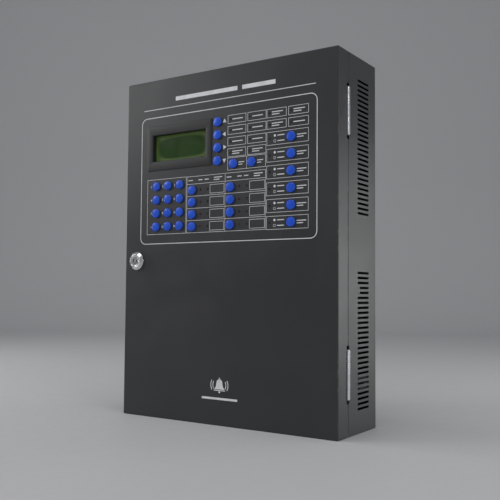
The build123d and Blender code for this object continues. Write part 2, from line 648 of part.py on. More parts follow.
def screw(x, z, seat, toward, shank):
    """A pan-head screw along Y. Its head sits on seat, on the side that toward points to."""
    head_end = seat + toward * SCREW_HEAD_HEIGHT
    shank_end = seat - toward * shank
    head = rod(x, z, SCREW_HEAD_RADIUS, min(seat, head_end), max(seat, head_end))
    return head + rod(x, z, SCREW_RADIUS, min(seat, shank_end), max(seat, shank_end))


def make_display_fixings():
    """Hexagonal pillars from the door to the display board, each with its screw behind the board.

    Four more screws hold the display module, over a washer each.
    """
    solids = []
    shank = 6.0
    for x, z in pillar_places():
        pillar = hex_bar(x, z, PILLAR_FLATS, DOOR_INSIDE, BOARD_FRONT)
        solids.append(pillar - rod(x, z, SCREW_RADIUS, BOARD_REAR - shank, BOARD_FRONT))
        solids.append(screw(x, z, BOARD_REAR, 1, shank))
    module_rear = BOARD_FRONT - MODULE_GAP
    for x, z in module_hole_places():
        washer = rod(x, z, WASHER_RADIUS, module_rear, BOARD_FRONT)
        solids.append(washer - rod(x, z, SCREW_RADIUS, module_rear, BOARD_FRONT))
        seat = module_rear - BOARD_THICKNESS
        solids.append(screw(x, z, seat, -1, BOARD_REAR - seat))
    return solids


def make_sounder():
    """The panel's own sounder: a drum on the back of the display board with a port in its face."""
    z = down(SOUNDER_DOWN)
    rear = BOARD_REAR + SOUNDER_HEIGHT
    drum = rod(SOUNDER_X, z, SOUNDER_RADIUS, BOARD_REAR, rear)
    drum = fillet(drum.edges().group_by(Axis.Y)[-1], 1.0)
    return drum - rod(SOUNDER_X, z, SOUNDER_PORT_RADIUS, rear - 3.0, rear + 1)


# ---------------------------------------------------------------- lock
def make_lock_barrel():
    """The lock's case: a domed head on the door and a threaded body behind it, bored for the plug."""
    body_end = CABINET_FRONT - LOCK_BODY_BEFORE_FLANGE
    length = body_end - FRONT
    slope = Line((LOCK_FACE_RADIUS + LOCK_RIM, LOCK_HEAD_HEIGHT - LOCK_RIM / 2), (LOCK_HEAD_RADIUS, LOCK_RIM))
    outline = Polyline(
        (0, -length),
        (LOCK_BODY_RADIUS, -length),
        (LOCK_BODY_RADIUS, 0),
        (LOCK_HEAD_RADIUS, 0),
        slope @ 1,
        slope @ 0,
        (LOCK_FACE_RADIUS, LOCK_HEAD_HEIGHT),
        (0, LOCK_HEAD_HEIGHT),
        (0, -length),
    )
    turned = revolve(Plane.XZ * make_face(outline), Axis.Z)
    rings = [e for e in turned.edges().filter_by(GeomType.CIRCLE) if e.center().Z > 1]
    turned = fillet([e for e in rings if e.radius > LOCK_FACE_RADIUS - 0.1], 0.6)
    bore = Cylinder(LOCK_PLUG_RADIUS + LOCK_PLUG_CLEARANCE, 3 * length)
    return facing(LOCK_X, FRONT, LOCK_Z) * (turned - bore)


def make_lock_nut():
    """The hexagonal nut that clamps the lock's body to the door."""
    rear = DOOR_INSIDE + LOCK_NUT_HEIGHT
    nut = hex_bar(LOCK_X, LOCK_Z, 2 * (LOCK_BODY_RADIUS + LOCK_NUT_WALL), DOOR_INSIDE, rear)
    return nut - rod(LOCK_X, LOCK_Z, LOCK_BODY_RADIUS, DOOR_INSIDE - 1, rear + 1)


CAM_FRONT = FLANGE_REAR + CAM_GAP
CAM_REAR = CAM_FRONT + CAM_THICKNESS


def make_lock_plug():
    """The turning plug, with a ring-shaped keyway in its face and a square tail for the cam."""
    face = FRONT - LOCK_HEAD_HEIGHT + 0.3
    body_end = CABINET_FRONT - LOCK_BODY_BEFORE_FLANGE
    plug = rod(LOCK_X, LOCK_Z, LOCK_PLUG_RADIUS, face, body_end)
    keyway = rod(LOCK_X, LOCK_Z, LOCK_KEYWAY_OUTER, face, face + LOCK_KEYWAY_DEPTH)
    keyway -= rod(LOCK_X, LOCK_Z, LOCK_KEYWAY_INNER, face, face + LOCK_KEYWAY_DEPTH)
    slot = block(
        (LOCK_X - 0.8, LOCK_X + 0.8),
        (face, face + LOCK_KEYWAY_DEPTH),
        (LOCK_Z + LOCK_KEYWAY_INNER, LOCK_Z + LOCK_KEYWAY_OUTER + 0.9),
    )
    half = LOCK_TAIL_SIDE / 2
    tail = block((LOCK_X - half, LOCK_X + half), (body_end, CAM_REAR), (LOCK_Z - half, LOCK_Z + half))
    stub = rod(LOCK_X, LOCK_Z, CAM_NUT_BORE_RADIUS, CAM_REAR, CAM_REAR + CAM_NUT_HEIGHT + 0.5)
    return plug - keyway - slot + tail + stub


def make_lock_cam():
    """The cam, hanging down with the lock open, and the nut that holds it on the plug's tail."""
    hub = rod(LOCK_X, LOCK_Z, CAM_WIDTH / 2, CAM_FRONT, CAM_REAR)
    half = CAM_WIDTH / 2
    arm = block((LOCK_X - half, LOCK_X + half), (CAM_FRONT, CAM_REAR), (LOCK_Z - CAM_REACH, LOCK_Z))
    tip = arm.edges().filter_by(Axis.Y).group_by(Axis.Z)[0]
    cam = hub + fillet(tip, 3.0)
    side = LOCK_TAIL_SIDE / 2
    cam -= block((LOCK_X - side, LOCK_X + side), (CAM_FRONT, CAM_REAR), (LOCK_Z - side, LOCK_Z + side))
    nut = hex_bar(LOCK_X, LOCK_Z, CAM_NUT_FLATS, CAM_REAR, CAM_REAR + CAM_NUT_HEIGHT)
    nut -= rod(LOCK_X, LOCK_Z, CAM_NUT_BORE_RADIUS, CAM_REAR, CAM_REAR + CAM_NUT_HEIGHT)
    return cam, nut


# ---------------------------------------------------------------- inside the cabinet
def make_main_board():
    """The main printed board, on spacers in the upper half of the cabinet."""
    half = MAIN_BOARD_WIDTH / 2
    board = block((-half, half), (MAIN_BOARD_FRONT, MAIN_BOARD_BACK), (MAIN_BOARD_BOTTOM, MAIN_BOARD_TOP))
    holes = (MAIN_BOARD_FRONT - 1, MAIN_BOARD_BACK + 1)
    return board - [rod(x, z, SCREW_RADIUS, *holes) for x, z in spacer_places()]


def make_main_board_fixings():
    """A hexagonal spacer behind the board and a screw in front of it at each fixing."""
    solids = []
    shank = 6.0
    for x, z in spacer_places():
        spacer = hex_bar(x, z, SPACER_FLATS, MAIN_BOARD_BACK, BACK_INSIDE)
        solids.append(spacer - rod(x, z, SCREW_RADIUS, MAIN_BOARD_BACK, MAIN_BOARD_FRONT + shank))
        solids.append(screw(x, z, MAIN_BOARD_FRONT, -1, shank))
    return solids


def terminal_block(x_left, ways, z_range, front, back):
    """A row of screw terminals: a housing with a wire entry below and a screw well in front of each way."""
    length = ways * TERMINAL_PITCH
    low, high = z_range
    screw_z = (low + high) / 2 - TERMINAL_SCREW_DROP
    housing = block((x_left, x_left + length), (front, back), (low, high))
    front_top = housing.edges().filter_by(Axis.X).sort_by(lambda e: e.center().Y - e.center().Z)[0]
    housing = chamfer(front_top, TERMINAL_CHAMFER)
    depth = back - front
    wells, screws = [], []
    for way in range(ways):
        x = x_left + (way + 0.5) * TERMINAL_PITCH
        wells.append(rod(x, screw_z, TERMINAL_WELL_RADIUS, front, front + 0.4 * depth))
        half = TERMINAL_ENTRY_WIDTH / 2
        entry_y = (back - 0.45 * depth, back - TERMINAL_FLOOR)
        wells.append(block((x - half, x + half), entry_y, (high - TERMINAL_ENTRY_DEPTH, high + 1)))
        screw_y = (front + 0.25 * depth, front + 0.4 * depth)
        screws.append(rod(x, screw_z, TERMINAL_SCREW_RADIUS, *screw_y))
    return [housing - wells, *screws]


def make_field_terminals():
    """The blocks for the field wiring, in a row along the top edge of the main board."""
    high = MAIN_BOARD_TOP - TERMINAL_FROM_EDGE
    z_range = (high - TERMINAL_DEPTH, high)
    length = TERMINAL_WAYS * TERMINAL_PITCH
    solids = []
    for number in range(TERMINAL_BLOCKS):
        middle = (number - (TERMINAL_BLOCKS - 1) / 2) * TERMINAL_BLOCK_PITCH
        x_left = middle - length / 2
        front = MAIN_BOARD_FRONT - TERMINAL_HEIGHT
        solids += terminal_block(x_left, TERMINAL_WAYS, z_range, front, MAIN_BOARD_FRONT)
    return solids


def make_board_relays():
    """The output relays, in a row under the terminals."""
    width, depth, height = RELAY_SIZE
    high = MAIN_BOARD_TOP - RELAY_FROM_EDGE
    solids = []
    for number in range(RELAYS):
        middle = (number - (RELAYS - 1) / 2) * RELAY_PITCH
        relay = block(
            (middle - width / 2, middle + width / 2),
            (MAIN_BOARD_FRONT - depth, MAIN_BOARD_FRONT),
            (high - height, high),
        )
        top = relay.faces().sort_by(Axis.Y)[0].edges()
        solids.append(fillet(top, 0.6))
    return solids


def make_supply_case():
    """The power supply's tray: a base with a lug at each corner and two long walls."""
    base = block(
        (SUPPLY_LEFT - SUPPLY_LUG, SUPPLY_RIGHT + SUPPLY_LUG),
        (BACK_INSIDE - SUPPLY_SHEET, BACK_INSIDE),
        (SUPPLY_BOTTOM, SUPPLY_TOP),
    )
    wall_y = (SUPPLY_FRONT + SUPPLY_SHEET, BACK_INSIDE)
    for low in (SUPPLY_BOTTOM, SUPPLY_TOP - SUPPLY_SHEET):
        base += block((SUPPLY_LEFT, SUPPLY_RIGHT), wall_y, (low, low + SUPPLY_SHEET))
    studs = supply_stud_places()
    return base - [rod(x, z, STUD_RADIUS, BACK_INSIDE - 2 * SHEET, BACK_INSIDE) for x, z in studs]


def make_supply_cover():
    """The supply's cover: a perforated lid with an end wall, stopping short of the terminal strip."""
    right = SUPPLY_RIGHT - SUPPLY_STRIP
    lid_y = (SUPPLY_FRONT, SUPPLY_FRONT + SUPPLY_SHEET)
    lid = block((SUPPLY_LEFT, right), lid_y, (SUPPLY_BOTTOM, SUPPLY_TOP))
    inner = (SUPPLY_BOTTOM + SUPPLY_SHEET, SUPPLY_TOP - SUPPLY_SHEET)
    end_y = (SUPPLY_FRONT, BACK_INSIDE - SUPPLY_SHEET)
    lid += block((SUPPLY_LEFT, SUPPLY_LEFT + SUPPLY_SHEET), end_y, inner)
    lid += block((right - SUPPLY_SHEET, right), (SUPPLY_FRONT, SUPPLY_FRONT + SUPPLY_DEPTH / 2), inner)
    margin = 2 * SUPPLY_HOLE_PITCH
    columns = int((right - SUPPLY_LEFT - margin) / SUPPLY_HOLE_PITCH)
    rows = int((SUPPLY_HEIGHT - margin) / SUPPLY_HOLE_PITCH)
    grid = GridLocations(SUPPLY_HOLE_PITCH, SUPPLY_HOLE_PITCH, columns, rows)
    middle = (SUPPLY_LEFT + right) / 2
    holes = Sketch() + [place * Circle(SUPPLY_HOLE_RADIUS) for place in grid]
    return lid - facing(middle, SUPPLY_FRONT + 2, SUPPLY_MIDDLE) * extrude(holes, 3)


def make_supply_board():
    """What is inside the supply: its board, transformer, capacitors, heat sink and terminal strip."""
    base = BACK_INSIDE - SUPPLY_SHEET
    rear = base - SUPPLY_BOARD_GAP
    seat = rear - BOARD_THICKNESS
    z_range = (SUPPLY_BOTTOM + SUPPLY_BOARD_MARGIN, SUPPLY_TOP - SUPPLY_BOARD_MARGIN)
    x_range = (SUPPLY_LEFT + SUPPLY_BOARD_MARGIN, SUPPLY_RIGHT - SUPPLY_BOARD_END)
    board = block(x_range, (seat, rear), z_range)
    for x in (SUPPLY_LEFT + SUPPLY_FOOT_INSET, SUPPLY_RIGHT - SUPPLY_FOOT_INSET):
        for z in (SUPPLY_BOTTOM + SUPPLY_FOOT_INSET, SUPPLY_TOP - SUPPLY_FOOT_INSET):
            foot = (SUPPLY_FOOT_SIDE, SUPPLY_BOARD_GAP, SUPPLY_FOOT_SIDE)
            board += standing(x - SUPPLY_FOOT_SIDE / 2, base, z, foot)
    core_left = SUPPLY_LEFT + CORE_FROM_LEFT
    winding_left = core_left + (CORE_SIZE[0] - WINDING_SIZE[0]) / 2
    core = standing(core_left, seat, SUPPLY_MIDDLE, CORE_SIZE)
    core += standing(winding_left, seat - CORE_SIZE[1], SUPPLY_MIDDLE, WINDING_SIZE)
    sink = standing(SUPPLY_LEFT + SINK_FROM_LEFT, seat, SUPPLY_MIDDLE, SINK_SIZE)
    capacitor_x = SUPPLY_LEFT + CAPACITOR_FROM_LEFT
    capacitors = []
    for side in (-1, 1):
        z = SUPPLY_MIDDLE + side * CAPACITOR_PITCH / 2
        capacitors.append(rod(capacitor_x, z, CAPACITOR_RADIUS, seat - CAPACITOR_HEIGHT, seat))
    strip_left = SUPPLY_RIGHT - STRIP_FROM_END - STRIP_SIZE[0]
    strip = standing(strip_left, seat, SUPPLY_MIDDLE, STRIP_SIZE)
    floor = seat - STRIP_SIZE[1] + STRIP_POCKET_DEPTH
    pitch = STRIP_SIZE[2] / STRIP_WAYS
    pocket = (SUPPLY_STRIP, STRIP_POCKET_DEPTH + 1, STRIP_POCKET_HEIGHT)
    screws = []
    for way in range(STRIP_WAYS):
        z = SUPPLY_MIDDLE + (way - (STRIP_WAYS - 1) / 2) * pitch
        strip -= standing(strip_left + STRIP_BARRIER, floor, z, pocket)
        screw_x = SUPPLY_RIGHT - SUPPLY_STRIP / 2
        screws.append(rod(screw_x, z, STRIP_SCREW_RADIUS, floor - STRIP_SCREW_HEIGHT, floor))
    return [board, core, sink, *capacitors, strip, *screws]


def make_mains_block():
    """The fused terminal block for the incoming supply, on the back of the cabinet."""
    width, height, depth = MAINS_BLOCK_SIZE
    left = MAINS_X - width / 2
    low, high = MAINS_Z - height / 2, MAINS_Z + height / 2
    body = block((left, left + width), (BACK_INSIDE - depth, BACK_INSIDE), (low, high))
    body = chamfer(body.faces().sort_by(Axis.Y)[0].edges().filter_by(Axis.X), MAINS_CHAMFER)
    pitch = width / (MAINS_WAYS + 1)
    face = BACK_INSIDE - depth
    wells, screws = [], []
    for way in range(MAINS_WAYS):
        x = left + (way + 0.5) * pitch
        floor = face + MAINS_WELL_DEPTH
        wells.append(rod(x, MAINS_Z, MAINS_WELL_RADIUS, face, floor))
        screws.append(rod(x, MAINS_Z, MAINS_SCREW_RADIUS, floor - MAINS_SCREW_HEIGHT, floor))
    fuse_x = left + (MAINS_WAYS + 0.45) * pitch
    wells.append(rod(fuse_x, MAINS_Z, FUSE_WELL_RADIUS, face, face + FUSE_WELL_DEPTH))
    fuse = rod(fuse_x, MAINS_Z, FUSE_CAP_RADIUS, face - FUSE_CAP_HEIGHT, face)
    fuse = fillet(fuse.edges().group_by(Axis.Y)[0], FUSE_CAP_EDGE)
    fuse += rod(fuse_x, MAINS_Z, FUSE_RADIUS, face, face + FUSE_DEPTH)
    return [body - wells, *screws, fuse]


def make_batteries():
    """Two sealed 12 V batteries side by side on the cabinet's floor, each with its two terminal tabs."""
    solids = []
    tab_width, tab_thickness, tab_height = BATTERY_TAB
    inset = BATTERY_LID_INSET
    shoulder = BATTERY_TOP - BATTERY_LID_HEIGHT
    for side in (-1, 1):
        middle = side * (BATTERY_GAP + BATTERY_LENGTH) / 2
        half = BATTERY_LENGTH / 2
        y_range = (BATTERY_FRONT, BATTERY_BACK)
        case = block((middle - half, middle + half), y_range, (FLOOR, shoulder))
        case = fillet(case.edges().filter_by(Axis.Z), BATTERY_CORNER)
        lid = block(
            (middle - half + inset, middle + half - inset),
            (BATTERY_FRONT + inset, BATTERY_BACK - inset),
            (shoulder, BATTERY_TOP),
        )
        top = lid.edges().filter_by(Axis.Z) + lid.faces().sort_by(Axis.Z)[-1].edges()
        lid = fillet(top, BATTERY_LID_EDGE)
        solids.append(case + lid)
        for end in (-1, 1):
            x = middle + end * (half - BATTERY_TAB_FROM_END)
            y = BATTERY_FRONT + BATTERY_TAB_FROM_FRONT
            solids.append(
                block(
                    (x - tab_width / 2, x + tab_width / 2),
                    (y, y + tab_thickness),
                    (BATTERY_TOP, BATTERY_TOP + tab_height),
                )
            )
    return solids


def make_battery_strap():
    """The strap that holds the batteries back: a bar in front, two legs and two feet on studs."""
    z_range = (STRAP_Z - STRAP_WIDTH / 2, STRAP_Z + STRAP_WIDTH / 2)
    outside = STRAP_INSIDE + STRAP_THICKNESS
    bar_rear = BATTERY_FRONT - STRAP_FIT
    bar_front = bar_rear - STRAP_THICKNESS
    strap = block((-outside, outside), (bar_front, BACK_INSIDE), z_range)
    strap -= block((-STRAP_INSIDE, STRAP_INSIDE), (bar_rear, BACK_INSIDE + 1), z_range)
    strap = fillet(strap.edges().filter_by(Axis.Z).group_by(Axis.Y)[0], STRAP_THICKNESS)
    foot_y = (BACK_INSIDE - STRAP_THICKNESS, BACK_INSIDE)
    for side in (-1, 1):
        near, far = side * STRAP_INSIDE, side * (outside + STRAP_FOOT)
        strap += block((min(near, far), max(near, far)), foot_y, z_range)
        strap -= rod(side * STRAP_STUD_X, STRAP_Z, STUD_RADIUS, *foot_y)
    return strap


def make_cabinet_nuts():
    """A nut on every weld stud: on the strap's feet, the supply's lugs and the earth point."""
    nuts = []
    seats = {place: SUPPLY_SHEET for place in supply_stud_places()}
    for x, z in stud_places():
        under = seats.get((x, z), STRAP_THICKNESS if z == STRAP_Z else 0.0)
        rear = BACK_INSIDE - under
        nut = hex_bar(x, z, NUT_FLATS, rear - NUT_HEIGHT, rear)
        nuts.append(nut - rod(x, z, STUD_RADIUS + NUT_CLEARANCE, rear - NUT_HEIGHT, rear))
    return nuts


# ---------------------------------------------------------------- write every node
def main():
    os.makedirs("parts", exist_ok=True)
    running = HINGE_PIN_RADIUS + HINGE_PIN_CLEARANCE
    write("cabinet_body", make_cabinet_body())
    write("hinge_cabinet_leaves", *[leaf(z, 0, 1, HINGE_PIN_RADIUS) for z in HINGE_MIDDLES])
    write("hinge_pins", *[hinge_pin(z) for z in HINGE_MIDDLES])
    write("main_board", make_main_board())
    write("main_board_fixings", *make_main_board_fixings())
    write("field_terminals", *make_field_terminals())
    write("board_relays", *make_board_relays())
    write("power_supply_case", make_supply_case())
    write("power_supply_cover", make_supply_cover())
    write("power_supply_board", *make_supply_board())
    write("mains_terminal_block", *make_mains_block())
    write("batteries", *make_batteries())
    write("battery_strap", make_battery_strap())
    write("cabinet_nuts", *make_cabinet_nuts())

    write("door_panel", make_door_panel())
    write("hinge_door_leaves", *[leaf(z, 1, -1, running) for z in HINGE_MIDDLES])
    write("lcd_bezel", make_lcd_bezel())
    module, glass = make_lcd_module()
    write("lcd_module", *module)
    write("lcd_glass", glass)
    write("display_board", make_display_board())
    write("display_board_fixings", *make_display_fixings())
    write("key_switches", *[make_switch(x, z) for x, z in KEYS.values()])
    write("indicator_leds", *[make_lamp(x, z) for x, z in LAMPS])
    write("sounder", make_sounder())
    write("lock_barrel", make_lock_barrel())
    write("lock_nut", make_lock_nut())
    write("lock_plug", make_lock_plug())
    write("lock_cam", *make_lock_cam())

    key = make_key()
    for name, (x, z) in KEYS.items():
        write(name, facing(x, FRONT, z) * key)


main()
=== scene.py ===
from math import pi, radians

import bmesh
import bpy
import numpy as np
from mathutils import Euler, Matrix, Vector


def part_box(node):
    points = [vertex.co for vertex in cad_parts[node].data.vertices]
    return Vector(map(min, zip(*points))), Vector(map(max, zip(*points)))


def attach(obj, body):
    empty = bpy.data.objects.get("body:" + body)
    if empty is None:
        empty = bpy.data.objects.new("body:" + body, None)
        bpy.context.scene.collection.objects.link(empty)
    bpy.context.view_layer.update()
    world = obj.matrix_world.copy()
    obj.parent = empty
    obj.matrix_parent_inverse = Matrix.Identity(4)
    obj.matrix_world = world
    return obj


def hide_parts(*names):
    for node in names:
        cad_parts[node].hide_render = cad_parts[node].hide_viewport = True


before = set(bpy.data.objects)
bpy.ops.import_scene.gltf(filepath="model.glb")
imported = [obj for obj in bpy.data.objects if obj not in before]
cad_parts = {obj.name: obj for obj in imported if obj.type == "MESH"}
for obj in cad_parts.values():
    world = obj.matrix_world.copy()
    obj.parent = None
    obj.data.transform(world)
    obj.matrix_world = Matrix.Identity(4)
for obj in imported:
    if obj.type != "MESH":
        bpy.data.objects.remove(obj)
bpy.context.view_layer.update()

# %% [markdown]
# # A fire alarm control panel
# A vented steel cabinet with a hinged door. The door carries a display behind a raised frame, 32 round
# push keys, 34 small lamps, a lock, and a screen-printed legend. Everything is in metres, in the CAD
# frame: the origin is the middle of the cabinet's back, +X is to the right, +Y goes into the wall and
# +Z is up, so the front faces -Y. The steel, the lock's plug, the hinges, the boards and the batteries
# are CAD nodes, which keep their shape and get a finish here. What a designer draws freely, such as key
# caps, ink, and the small parts on the boards, is made here from surfaces worked out with numpy.

# %% Places that the rest is worked out from
MM = 0.001
door_low, door_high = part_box("door_panel")
cabinet_low, cabinet_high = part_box("cabinet_body")
door_face = door_low.y
key_names = [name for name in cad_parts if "_key" in name and name != "key_switches"]


def middle(node):
    """The middle of a CAD node's box."""
    low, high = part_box(node)
    return (low + high) / 2


key_at = {name: middle(name) for name in key_names}
print(len(key_names), "keys; the door's face is at y =", round(door_face, 4))

# %% [markdown]
# ## Camera
# The view is from the right and a little below the middle of the panel, close enough that the far edge
# looks clearly shorter than the near one. A 53 mm lens at 1.1 m gives that perspective. The camera looks
# slightly up, and it is turned by a fraction of a degree about its own axis.

# %% Camera
CAMERA_AT = Vector((0.6015, -0.9501, -0.0641))
CAMERA_TURN = 33.553
CAMERA_LIFT = 3.138
CAMERA_TWIST = 0.436
LENS = 53.39
SENSOR = 36.0

camera = bpy.data.objects.new("camera", bpy.data.cameras.new("camera"))
bpy.context.scene.collection.objects.link(camera)
camera.data.lens = LENS
camera.data.sensor_width = SENSOR
camera.data.clip_start = 0.01
camera.location = CAMERA_AT
look = Euler((radians(90 + CAMERA_LIFT), 0, radians(CAMERA_TURN))).to_matrix()
twist = Euler((0, 0, radians(CAMERA_TWIST))).to_matrix()
camera.rotation_euler = (look @ twist).to_euler()
bpy.context.scene.camera = camera
print("camera", round((CAMERA_AT - Vector((0, door_face, 0))).length, 3), "m from the middle of the front")

# %% [markdown]
# ## Surfaces
# Every new piece is built from a few kinds of surface. A shape is held as its points and a list of face
# arrays, so shapes are joined by stacking arrays. The last helper turns a shape into a Blender object:
# it merges coincident points, points all faces outwards, shades smoothly except across sharp edges,
# and makes the piece ride on a CAD body.

# %% Shapes as arrays
def grid_faces(rows, columns, close_rows=False, close_columns=True):
    """Quads over a grid of points numbered row by row, wrapping round where a direction is closed."""
    r = np.arange(rows if close_rows else rows - 1)[:, None]
    c = np.arange(columns if close_columns else columns - 1)[None, :]
    r2, c2 = (r + 1) % rows, (c + 1) % columns
    corners = [r * columns + c, r * columns + c2, r2 * columns + c2, r2 * columns + c]
    return np.stack([np.broadcast_to(k, (r.size, c.size)).ravel() for k in corners], axis=1)


def together(shapes):
    """One shape from several: the points are stacked and each shape's face numbers are shifted."""
    points, faces, start = [], [], 0
    for these, polygons in shapes:
        points.append(these)
        faces += [f + start for f in polygons]
        start += len(these)
    return np.concatenate(points), faces


def skin(rings, close_rows=False):
    """A surface through rings of points, each ring closed; open ends are capped with a flat face."""
    rings = np.asarray(rings, float)
    rows, columns = rings.shape[:2]
    faces = [grid_faces(rows, columns, close_rows)]
    if not close_rows:
        last = (rows - 1) * columns + np.arange(columns)
        faces += [np.arange(columns)[None, :], last[None, :]]
    return rings.reshape(-1, 3), faces


def turned(profile, x, z, steps=48):
    """A profile of (radius, y) turned about an axis along Y.

    Point (i, j) is (x + r_i cos a_j, y_i, z + r_i sin a_j), with a_j = 2 pi j / steps. A profile that
    starts and ends on the same point is a closed tube; otherwise its two ends are capped.
    """
    profile = np.asarray(profile, float)
    closed = bool(np.allclose(profile[0], profile[-1]))
    profile = profile[:-1] if closed else profile
    angle = np.linspace(0, 2 * pi, steps, endpoint=False)
    r, y = profile[:, :1], profile[:, 1:]
    along = np.broadcast_to(y, (len(profile), steps))
    rings = np.stack([x + r * np.cos(angle), along, z + r * np.sin(angle)], axis=2)
    return skin(rings, close_rows=closed)


def arc(centre, radius, start, end, steps=6):
    """Points of a circle's arc: centre + radius (cos t, sin t), with t in degrees."""
    t = np.radians(np.linspace(start, end, steps + 1))
    return np.stack([centre[0] + radius * np.cos(t), centre[1] + radius * np.sin(t)], axis=1)


def rounded(half_x, half_z, corner, steps=5):
    """A rounded rectangle: in each quadrant the corner's centre plus corner (cos t, sin t)."""
    t = np.concatenate([np.linspace(q, q + 90, steps + 1) for q in (0, 90, 180, 270)])
    quadrant = np.repeat([[1, 1], [-1, 1], [-1, -1], [1, -1]], steps + 1, axis=0)
    centre = quadrant * (np.array([half_x, half_z]) - corner)
    return centre + corner * np.stack([np.cos(np.radians(t)), np.sin(np.radians(t))], axis=1)


def framed(sections, x, z, close_rows=False, steps=5):
    """A surface through rounded rectangles, given as (half width, half height, corner radius, y)."""
    rings = []
    for half_x, half_z, corner, y in sections:
        flat = rounded(half_x, half_z, corner, steps)
        rings.append(np.stack([x + flat[:, 0], np.full(len(flat), y), z + flat[:, 1]], axis=1))
    return skin(rings, close_rows)


def block(low, high, radius, steps=2):
    """A box with rounded edges: inner corner + radius times the normal of a sphere.

    The sphere's angles run in quadrants with each quadrant's last angle given again as the next one's
    first, so that the surface jumps from corner to corner and leaves flat faces between them.
    """
    low, high = np.asarray(low, float), np.asarray(high, float)
    centre, half = (low + high) / 2, (high - low) / 2 - radius
    around = np.radians(np.concatenate([np.linspace(q, q + 90, steps + 1) for q in (0, 90, 180, 270)]))
    side = np.repeat([[1, 1], [-1, 1], [-1, -1], [1, -1]], steps + 1, axis=0)
    up = np.radians(np.concatenate([np.linspace(-90, 0, steps + 1), np.linspace(0, 90, steps + 1)]))
    end = np.repeat([-1, 1], steps + 1)
    x = centre[0] + side[:, 0] * half[0] + radius * np.cos(up)[:, None] * np.cos(around)
    y = centre[1] + side[:, 1] * half[1] + radius * np.cos(up)[:, None] * np.sin(around)
    z = np.broadcast_to((centre[2] + end * half[2] + radius * np.sin(up))[:, None], x.shape)
    return skin(np.stack([x, y, z], axis=2))


def plate(outline, y_front, y_back):
    """A flat outline of (x, z) points given a thickness along Y."""
    outline = np.asarray(outline, float)
    rings = [np.insert(outline, 1, y, axis=1) for y in (y_front, y_back)]
    return skin(rings)


def ribbon(path, width, y_front, y_back, closed=True):
    """A line of constant width: the path shifted half a width to each side along its own normals."""
    path = np.asarray(path, float)
    if closed:
        before, after = np.roll(path, 1, axis=0), np.roll(path, -1, axis=0)
    else:
        before = np.concatenate([path[:1], path[:-1]])
        after = np.concatenate([path[1:], path[-1:]])
    run_in, run_out = path - before, after - path
    unit = [v / np.maximum(np.linalg.norm(v, axis=1, keepdims=True), 1e-12) for v in (run_in, run_out)]
    along = unit[0] + unit[1]
    along /= np.linalg.norm(along, axis=1, keepdims=True)
    normal = np.stack([-along[:, 1], along[:, 0]], axis=1)
    # at a corner the offset grows, so that both runs keep their full width
    lean = np.maximum(np.abs((unit[1] * along).sum(1)), np.abs((unit[0] * along).sum(1)))[:, None]
    offset = normal * (width / 2) / np.maximum(lean, 0.5)
    left, right = path + offset, path - offset
    corners = [np.insert(side, 1, y, axis=1) for side, y in
               ((left, y_front), (right, y_front), (right, y_back), (left, y_back))]
    return skin(np.stack(corners, axis=1), close_rows=closed)


def piece(name, shape, finish, body, sharp=32):
    """A shape made into an object that rides on a CAD body and takes its finish from a material slot."""
    points, faces = shape
    mesh = bpy.data.meshes.new(name)
    mesh.from_pydata(points.tolist(), [], [f for polygons in faces for f in polygons.tolist()])
    work = bmesh.new()
    work.from_mesh(mesh)
    bmesh.ops.remove_doubles(work, verts=work.verts, dist=1e-7)
    bmesh.ops.dissolve_degenerate(work, edges=work.edges, dist=1e-7)
    bmesh.ops.recalc_face_normals(work, faces=work.faces)
    work.to_mesh(mesh)
    work.free()
    mesh.shade_smooth()
    mesh.set_sharp_from_angle(angle=radians(sharp))
    made = bpy.data.objects.new(name, mesh)
    bpy.context.scene.collection.objects.link(made)
    mesh.materials.append(finish)
    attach(made, body)
    return made


# %% [markdown]
# ## Shader helpers
# One function adds a node and wires it, and one starts a node group with named inputs and outputs. The
# groups below are effects that several finishes share: a fine grain, wear along edges, large soft
# smudges, and fine scratches. They put out only values that change over the surface. Each finish then
# has a short function of its own that ends in one Principled shader, with the constant values set
# directly on it.

# %% Node helpers
def add(tree, kind, options=None, inputs=None):
    """Adds a shader node. An input given a socket is linked to it, and any other value is set on it."""
    made = tree.nodes.new(kind if kind.startswith("NodeGroup") else "ShaderNode" + kind)
    for name, value in (options or {}).items():
        setattr(made, name, value)
    for name, value in (inputs or {}).items():
        if isinstance(value, bpy.types.NodeSocket):
            tree.links.new(value, made.inputs[name])
        else:
            made.inputs[name].default_value = value
    return made


def maths(tree, operation, *values):
    """One Math node's result."""
    return add(tree, "Math", {"operation": operation}, dict(enumerate(values))).outputs[0]


def between(tree, value, low, high, to_low=0.0, to_high=1.0):
    """A smooth step of value from low to high."""
    inputs = {"Value": value, "From Min": low, "From Max": high, "To Min": to_low, "To Max": to_high}
    return add(tree, "MapRange", {"interpolation_type": "SMOOTHSTEP"}, inputs).outputs["Result"]


def mixed(tree, factor, first, second):
    """A mix of two colours."""
    node = add(tree, "Mix", {"data_type": "RGBA"})
    for socket, value in zip((node.inputs[0], node.inputs[6], node.inputs[7]), (factor, first, second)):
        if isinstance(value, bpy.types.NodeSocket):
            tree.links.new(value, socket)
        else:
            socket.default_value = value if isinstance(value, float) else (*value, 1.0)
    return node.outputs[2]


def new_group(name, inputs, outputs):
    """A shader node group with its sockets, and its input and output nodes."""
    group = bpy.data.node_groups.new(name, "ShaderNodeTree")
    for label, kind, value in inputs:
        socket = group.interface.new_socket(label, in_out="INPUT", socket_type="NodeSocket" + kind)
        if value is not None:
            socket.default_value = value
    for label in outputs:
        group.interface.new_socket(label, in_out="OUTPUT", socket_type="NodeSocketFloat")
    return group, add(group, "NodeGroupInput"), add(group, "NodeGroupOutput")


